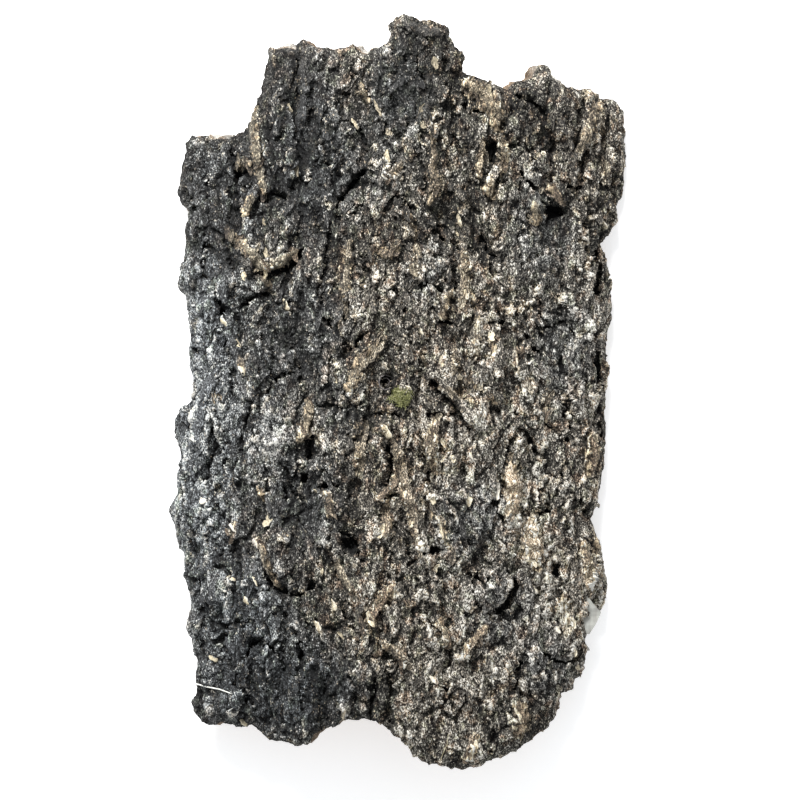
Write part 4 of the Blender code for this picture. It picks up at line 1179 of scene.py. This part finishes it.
# Small bleached flakes, pink or cream, made as short lips that lie low: half width and height in
# metres, then the line of each in pixels.
PALE_FLAKES = [
    (0.0019, 0.0030, [(283, 300), (289, 311)]), (0.0015, 0.0030, [(287, 105), (292, 115)]),
    (0.0022, 0.0030, [(274, 513), (264, 526)]), (0.0018, 0.0030, [(331, 598), (335, 610)]),
    (0.0016, 0.0028, [(316, 620), (320, 630)]), (0.0018, 0.0028, [(209, 655), (217, 662)]),
    (0.0016, 0.0028, [(241, 718), (246, 726)]), (0.0020, 0.0028, [(199, 503), (209, 498)]),
    (0.0015, 0.0028, [(239, 366), (245, 376)]), (0.0017, 0.0028, [(230, 524), (239, 532)]),
    (0.0015, 0.0026, [(244, 595), (249, 604)]), (0.0015, 0.0026, [(228, 576), (236, 581)]),
    (0.0014, 0.0026, [(253, 575), (258, 585)]), (0.0022, 0.0032, [(382, 425), (390, 437)]),
    (0.0013, 0.0026, [(311, 489), (317, 492)]), (0.0015, 0.0026, [(457, 216), (461, 228)]),
    (0.0014, 0.0026, [(603, 221), (608, 228)]), (0.0014, 0.0026, [(533, 586), (537, 594)]),
    (0.0015, 0.0026, [(554, 626), (560, 633)]), (0.0016, 0.0028, [(405, 385), (411, 390)]),
    (0.0014, 0.0026, [(352, 120), (358, 131)]), (0.0013, 0.0026, [(417, 326), (423, 336)]),
    (0.0014, 0.0026, [(222, 318), (227, 328)]), (0.0014, 0.0026, [(470, 452), (476, 462)]),
    (0.0016, 0.0028, [(515, 706), (522, 722)]), (0.0013, 0.0026, [(430, 672), (436, 681)]),
]

bark_surface = bvhtree.BVHTree.FromPolygons(
    [vertex.co for vertex in slab.data.vertices], [polygon.vertices for polygon in slab.data.polygons]
)


def ground_under(points, otherwise=0.02):
    """Height of the bark at each place in plan, or the value given where there is none."""
    hits = [bark_surface.ray_cast(Vector((x, y, 0.5)), Vector((0, 0, -1)))[0] for x, y in points]
    return np.where([hit is None for hit in hits], otherwise, [hit.z if hit else 0 for hit in hits])


lip_points, lip_faces, lip_free, lip_tone = [], [], [], []
for number, (half_width, lip_height, pixels) in enumerate(RIDGES + PALE_FLAKES):
    is_lip = number < len(RIDGES)
    line = spaced(places(pixels), LIP_STEP)
    line += 0.0012 * np.stack([wave(line, 0.008, 0.008, seed, 2) for seed in (21.0, 22.0)], axis=1)
    along = np.linspace(0, 1, len(line))
    ahead = np.gradient(line, axis=0)
    ahead /= np.linalg.norm(ahead, axis=1)[:, None]
    own = noise.cell_vector(Vector((number + 0.5, 3.5, 0.5)))
    side = np.column_stack([ahead[:, 1], -ahead[:, 0]]) * (1 if own.x > 0.5 else -1)
    ragged = wave(np.column_stack([along * 40, np.full(len(line), number)]), 3.0, 3.0, 5.0, 3)
    taper = 0.25 + 0.75 * np.sqrt(np.sin(np.pi * np.clip(along, 0.02, 0.98)))
    width = (1.5 if is_lip else 2.5) * half_width * taper * (1 + 0.5 * ragged)
    crest = ground_under(line)
    crest = np.convolve(np.pad(crest, 2, mode="edge"), np.ones(5) / 5, mode="valid")
    if not is_lip:
        crest = np.full(len(line), (crest.max() + crest.mean()) / 2 + 0.0005)
    fall = LIP_FALL if is_lip else PALE_FLAKE_FALL
    stand = 0.45 * lip_height * (0.4 + 0.6 * np.sin(np.pi * along)) * (1 + 0.4 * ragged)
    section = []
    for level in (0, 1):
        for across, up in LIP_SECTION if level == 0 else LIP_SECTION[::-1]:
            spots = line + side * (width * across)[:, None]
            base = np.maximum(ground_under(spots, crest), crest - fall) if up < 0 else crest
            thickness = LIP_THICKNESS * (1.2 - 0.5 * max(up, 0))
            rise = np.where(up < 0, 0.0012 * up, stand * up)
            section.append(np.column_stack([spots, base + rise - level * thickness]))
    start = len(lip_points)
    sides = len(section)
    for i in range(len(line)):
        lip_points += [tuple(ring[i]) for ring in section]
        lip_free += [max(0.0, LIP_SECTION[min(k, sides - 1 - k)][1] - 0.6) / 0.4 for k in range(sides)]
        lip_tone += [own.y * 0.9 if is_lip else 1.0] * sides
    for i in range(len(line) - 1):
        for k in range(sides):
            near, far = start + i * sides, start + (i + 1) * sides
            lip_faces.append((near + k, near + (k + 1) % sides, far + (k + 1) % sides, far + k))
    lip_faces.append(tuple(start + k for k in reversed(range(sides))))
    lip_faces.append(tuple(start + (len(line) - 1) * sides + k for k in range(sides)))


def closed_into(mesh, shape):
    """A closed shape written into a mesh, with its normals turned out."""
    bmesh.ops.recalc_face_normals(shape, faces=shape.faces)
    shape.to_mesh(mesh)
    shape.free()
    return mesh


lip_mesh = bpy.data.meshes.new("curled_lips")
lip_mesh.from_pydata(lip_points, [], lip_faces)
lip_plan = np.array(lip_points)[:, :2]
keep_on(lip_mesh, {
    "free_edge": np.array(lip_free),
    "tone": np.array(lip_tone),
    "bared": stripped_by(lip_plan, np.zeros(lip_plan.shape)),
    "soot": blotches(lip_plan, SOOTED),
    "paled": blotches(lip_plan, PALED) - blotches(lip_plan, DARKENED),
})
lip_shape = bmesh.new()
lip_shape.from_mesh(lip_mesh)
closed_into(lip_mesh, lip_shape)
lip_mesh.shade_smooth()
curled_lips = new_piece("curled_lips", lip_mesh)

crumpling = new_tree("crumpling", {"Crumple Size": 0.0045, "Crumple": 0.0016})
crumple = crumpling.node("GeometryNodeInputPosition").noise(1 / crumpling.other("Crumple Size"), output=1)
crumpled = crumple.about_zero().scaled(crumpling.other("Crumple") * 2)
finish_tree(crumpling, crumpling.node("GeometryNodeSetPosition", {}, {0: crumpling, "Offset": crumpled}), flake_finish)
grow(curled_lips, crumpling, {})
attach(curled_lips, "root")


# Crumbs and grit.
# Grains of broken cork, dust and lichen from under a millimetre to two across, caught in the
# furrows and stuck to the crust: most are pale, some brown and some black.

crumb_finish, crumb_shader, at = new_material("cork crumbs and grit")
crumb_colour = (at.painted("tone") * (1 - at.painted("soot") * 0.25)).ramp(
    (0.00, (0.020, 0.018, 0.016, 1)), (0.40, (0.070, 0.058, 0.045, 1)), (0.55, (0.230, 0.185, 0.130, 1)),
    (0.78, (0.340, 0.310, 0.255, 1)), (1.00, (0.540, 0.510, 0.450, 1)),
)
# The paled values also carry the painted shade of the holes.
crumb_colour = crumb_colour.lit(at.painted("paled") * 0.5 - 0.1)
crumb_colour = crumb_colour.vectors("MINIMUM", crumb_colour, (0.50, 0.48, 0.42))
dress(crumb_shader, Base_Color=crumb_colour, Roughness=0.85)

gritting = new_tree("crumbs", {"Crumbs per Square Metre": 17000.0, "Crumb Radius": 0.00050, "Seed": 31})
density = gritting.kept("outer").between(0.40, 0.90) * gritting.other("Crumbs per Square Metre")
stretch = chance(gritting, (0.35, 0.45, 0.30), (1.3, 1.9, 0.9), 6)
spin = chance(gritting, (-0.6, -0.6, -0.8), (0.6, 0.6, 0.8), 7)
scattered = gritting.node("GeometryNodeInstanceOnPoints", {}, {
    "Points": strewn(gritting, density, 5),
    "Instance": gritting.node("GeometryNodeMeshUVSphere", {}, {"Segments": 4, "Rings": 2, "Radius": 1.0}),
    "Rotation": euler(spin),
    "Scale": stretch.scaled(gritting.other("Crumb Radius")),
})
finish_tree(gritting, scattered, crumb_finish)
crumbs_piece = new_piece("crumbs", slab.data.copy())
grow(crumbs_piece, gritting, {"Seed": 31})
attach(crumbs_piece, "root")


# Peeled leaves of the inner cork.
# At the right edge a leaf of the inner layers has split from the broken rim and reaches past the
# crust, with a scrap of one below it. They are dry, smooth and bleached grey, and still held in
# the rim along their inner edge.

# Each row down the leaf: its row, first column and last column in pixels.
LARGE_LEAF = [
    (597, 585, 589), (603, 584, 593), (609, 584, 598), (613, 584, 602), (617, 584, 600.5), (621, 584.5, 598.5),
    (626, 585, 596), (631, 586, 592.5), (635, 587.5, 590),
]
SMALL_LEAF = [(645, 583, 587), (648, 583, 589), (650, 583, 590.5), (652, 583, 590.8)]
LEAF_THICKNESS = 0.0011
LEAF_STEPS = 7
LEAF_REACH = 0.0150
LEAF_ROOT_COLUMN = 584

leaf_finish, leaf_shader, at = new_material("bleached inner cork")
veins = at.times((1.0, 0.25, 1.0)).noise(240.0)
leaf_colour = veins.ramp((0.35, (0.285, 0.275, 0.250, 1)), (0.60, (0.370, 0.370, 0.335, 1)))
dress(leaf_shader, Base_Color=leaf_colour, Roughness=0.8)


def leaf(name, rows, root, sunk, fall):
    """A thin plate given by rows of pixels, sunk below the bark at its root and bending down outwards."""
    top = float(ground_under(places([root]))[0]) - sunk
    shape = bmesh.new()
    layers = []
    for level in (0, 1):
        grid = []
        for number, (row, first, last) in enumerate(rows):
            spots = places([(column, row) for column in np.linspace(first, last, LEAF_STEPS)])
            out = (spots[:, 0] - place((LEAF_ROOT_COLUMN, row))[0]) / LEAF_REACH
            heights = top - fall * out**1.5 + 0.0006 * math.sin(number * 1.3) - level * LEAF_THICKNESS
            grid.append([shape.verts.new((x, y, z)) for (x, y), z in zip(spots, heights)])
        layers.append(grid)
    upper, lower = layers
    for i in range(len(rows) - 1):
        for k in range(LEAF_STEPS - 1):
            shape.faces.new((upper[i][k], upper[i + 1][k], upper[i + 1][k + 1], upper[i][k + 1]))
            shape.faces.new((lower[i][k], lower[i][k + 1], lower[i + 1][k + 1], lower[i + 1][k]))
        for k in (0, LEAF_STEPS - 1):
            shape.faces.new((upper[i][k], upper[i + 1][k], lower[i + 1][k], lower[i][k]))
    for i in (0, len(rows) - 1):
        for k in range(LEAF_STEPS - 1):
            shape.faces.new((upper[i][k], upper[i][k + 1], lower[i][k + 1], lower[i][k]))
    mesh = closed_into(bpy.data.meshes.new(name), shape)
    mesh.materials.append(leaf_finish)
    piece = new_piece(name, mesh)
    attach(piece, "root")


leaf("large_leaf", LARGE_LEAF, (583, 616), 0.0066, 0.0060)
leaf("small_leaf", SMALL_LEAF, (581, 649), 0.0060, 0.0050)


# The moss.
# One small tuft beside the knot hole, yellow green and already drying, rooted in a nick of the
# crust. Each frond is a tapered blade a few millimetres long.

MOSS_CENTRE, MOSS_RADIUS = (401, 396), 0.0085

moss_finish, moss_shader, at = new_material("drying moss")
moss_colour = at.painted("tone").ramp(
    (0.00, (0.050, 0.055, 0.020, 1)), (0.45, (0.190, 0.200, 0.065, 1)),
    (0.80, (0.380, 0.380, 0.165, 1)), (1.00, (0.600, 0.570, 0.360, 1)),
)
dress(moss_shader, Base_Color=moss_colour, Roughness=0.8)

tuft = new_tree("moss", {
    "Fronds per Square Metre": 5200000.0, "Frond Length": 0.0030, "Frond Radius": 0.00030, "Seed": 41,
})
position = tuft.node("GeometryNodeInputPosition")
centre = place(MOSS_CENTRE)
from_centre = position.vectors("SUBTRACT", position, (centre[0], centre[1], 0.0)).times((1.0, 1.25, 0.0))
gap = from_centre.vectors("LENGTH", from_centre, output=1)
tatter = (position.noise(240.0) - 0.5) * 2.2
density = (1 - (gap / MOSS_RADIUS + tatter).between(0.5, 1.0)) * tuft.other("Fronds per Square Metre")
density = density * tuft.kept("outer").between(0.8, 0.95)
frond = tuft.node("GeometryNodeMeshCone", {}, {
    "Vertices": 4, "Side Segments": 2, "Radius Top": 0.00005,
    "Radius Bottom": tuft.other("Frond Radius"), "Depth": tuft.other("Frond Length"),
})
lean = euler(chance(tuft, (-1.2, -1.2, -3.1), (1.2, 1.2, 3.1), 3))
fronds = tuft.node("GeometryNodeInstanceOnPoints", {}, {
    "Points": strewn(tuft, density, 2), "Instance": frond, "Rotation": lean,
})
finish_tree(tuft, fronds, moss_finish)
moss = new_piece("moss", slab.data.copy())
grow(moss, tuft, {"Seed": 41})
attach(moss, "root")


# The collars of the knot hole.
# Two thin dark rings of scar wood, left standing round the hole where the branch died and the cork
# grew up to it. The hole's floor and wall are bark.

def lay_on_bark(pixels, radius, steps):
    """A line of points over the bark: straight between the places where it touches the highest crests."""
    length = np.linalg.norm(np.diff(places(pixels), axis=0), axis=1).sum()
    line = spaced(places(pixels), length / steps)
    heights = ground_under(line)
    along = np.linspace(0, 1, len(line))
    first, last = (int(np.argmax(np.where(end, heights, -2))) for end in (along < 0.35, along > 0.65))
    slope = (heights[last] - heights[first]) / (along[last] - along[first])
    straight = heights[first] + slope * (along - along[first])
    return np.column_stack([line, np.maximum(straight, heights) * 0.4 + straight * 0.6 + radius * 0.8])


def stalk(name, pixels, radii, finish, sides=8, steps=16):
    """A tapering round stalk lying on the bark, with closed ends, as one piece."""
    points = [Vector(point) for point in lay_on_bark(pixels, max(radii), steps)]
    shape = bmesh.new()
    rings = []
    for i, point in enumerate(points):
        ahead = (points[min(i + 1, len(points) - 1)] - points[max(i - 1, 0)]).normalized()
        side = ahead.cross(Vector((0, 0, 1))).normalized()
        up = side.cross(ahead)
        radius = float(np.interp(i / (len(points) - 1), np.linspace(0, 1, len(radii)), radii))
        turns = [math.tau * k / sides for k in range(sides)]
        rings.append([shape.verts.new(point + radius * (math.cos(t) * side + math.sin(t) * up)) for t in turns])
    for one, two in zip(rings[:-1], rings[1:]):
        for k in range(sides):
            shape.faces.new((one[k], one[(k + 1) % sides], two[(k + 1) % sides], two[k]))
    shape.faces.new(rings[0][::-1])
    shape.faces.new(rings[-1])
    mesh = closed_into(bpy.data.meshes.new(name), shape)
    mesh.shade_smooth()
    mesh.materials.append(finish)
    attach(new_piece(name, mesh), "root")


collar_finish, collar_shader, at = new_material("knot collar")
collar_colour = at.noise(1100.0, 1.0).ramp((0.35, (0.035, 0.030, 0.030, 1)), (0.65, (0.150, 0.135, 0.130, 1)))
dress(collar_shader, Base_Color=collar_colour, Roughness=0.9)
stalk("knot_collar_outer", [(391, 377), (386, 375), (381, 377), (379, 382), (380, 387), (385, 390), (391, 388)],
      (0.00028, 0.00045, 0.00050, 0.00028), collar_finish, sides=6, steps=26)
stalk("knot_collar_inner", [(383, 379), (387, 378), (390, 381), (389, 384), (386, 386)],
      (0.00025, 0.00040, 0.00025), collar_finish, sides=6, steps=18)


# The straw.
# A piece of dry bleached straw, about 30 mm long and 1 mm thick. It lies across the lower left edge
# and is only caught in the bark's nicks.

straw_finish, straw_shader, at = new_material("bleached straw")
fibre = at.times((0.2, 1.0, 1.0)).noise(900.0)
straw_colour = fibre.ramp((0.35, (0.44, 0.43, 0.38, 1)), (0.60, (0.78, 0.78, 0.73, 1)))
dress(straw_shader, Base_Color=straw_colour, Roughness=0.6)
stalk("straw", [(193, 684), (206, 687), (220, 689), (233, 693)], (0.00050, 0.00060, 0.00055, 0.00035), straw_finish)


# The thread.
# A scrap of pale plant thread below the straw, about 9 mm long and of the same bleached stuff. It
# lies loose on the crust.

stalk("thread", [(228, 710), (232, 708), (237, 704)], (0.00030, 0.00028, 0.00025), straw_finish, sides=6, steps=6)


# The grass stem.
# A thin stem of dry yellow grass, which hangs in a furrow at the lower end of the slab. It is only
# caught there.

stem_finish, stem_shader, at = new_material("dry grass stem")
mottling = at.times((1.0, 0.3, 1.0)).noise(500.0)
stem_colour = mottling.ramp((0.35, (0.22, 0.19, 0.11, 1)), (0.65, (0.46, 0.42, 0.28, 1)))
dress(stem_shader, Base_Color=stem_colour, Roughness=0.7)
stalk("grass_stem", [(448, 732), (447, 742), (443, 751), (440, 760)],
      (0.00025, 0.00035, 0.00035, 0.00030), stem_finish, sides=6)
bpy.data.objects.remove(slab)


# The studio.
# A plain near-white floor with one large soft light from the slab's upper end and an even sky,
# and a long lens straight above the slab, as in the photograph.

FLOOR_HALF, FLOOR_TOP = 4, -0.0002

floor_mesh = bpy.data.meshes.new("floor")
floor_corners = [(x * FLOOR_HALF, y * FLOOR_HALF, FLOOR_TOP) for x, y in ((-1, -1), (1, -1), (1, 1), (-1, 1))]
floor_mesh.from_pydata(floor_corners, [], [(0, 1, 2, 3)])
floor = new_piece("floor", floor_mesh)
floor_finish, floor_shader, _ = new_material("pale studio floor")
dress(floor_shader, Base_Color=(0.90, 0.90, 0.90, 1), Roughness=0.9)
dress(floor_shader, Emission_Color=(1, 1, 1, 1), Emission_Strength=0.45)
floor_mesh.materials.append(floor_finish)

world = bpy.data.worlds.new("studio")
world.use_nodes = True
world.node_tree.nodes["Background"].inputs["Color"].default_value = (0.94, 0.97, 1.0, 1)
world.node_tree.nodes["Background"].inputs["Strength"].default_value = 0.72
bpy.context.scene.world = world

key_light = bpy.data.lights.new("softbox", "AREA")
key_light.shape, key_light.size, key_light.size_y = "RECTANGLE", 1.1, 0.6
key_light.energy = 92.0
softbox = new_piece("softbox", key_light)
softbox.location = (-0.45, 1.45, 1.30)
softbox.rotation_euler = (Vector((0, 0, 0.05)) - softbox.location).to_track_quat("-Z", "Y").to_euler()

# The lens is as far above the slab's middle height as makes the frame 800 of the photograph's
# pixels wide there. The slab's middle is a few pixels from the photograph's.
FRAME_PIXELS = 800
LENS, SENSOR = 250.0, 36.0
MIDDLE_HEIGHT = 0.045
camera_data = bpy.data.cameras.new("camera")
camera_data.lens, camera_data.sensor_width = LENS, SENSOR
camera_data.clip_end = 20.0
camera = new_piece("camera", camera_data)
aim = place((FRAME_PIXELS / 2, FRAME_PIXELS / 2))
camera.location = (aim[0], aim[1], FRAME_PIXELS * PIXEL * LENS / SENSOR + MIDDLE_HEIGHT)
bpy.context.scene.camera = camera
bpy.context.scene.view_settings.view_transform = "Standard"
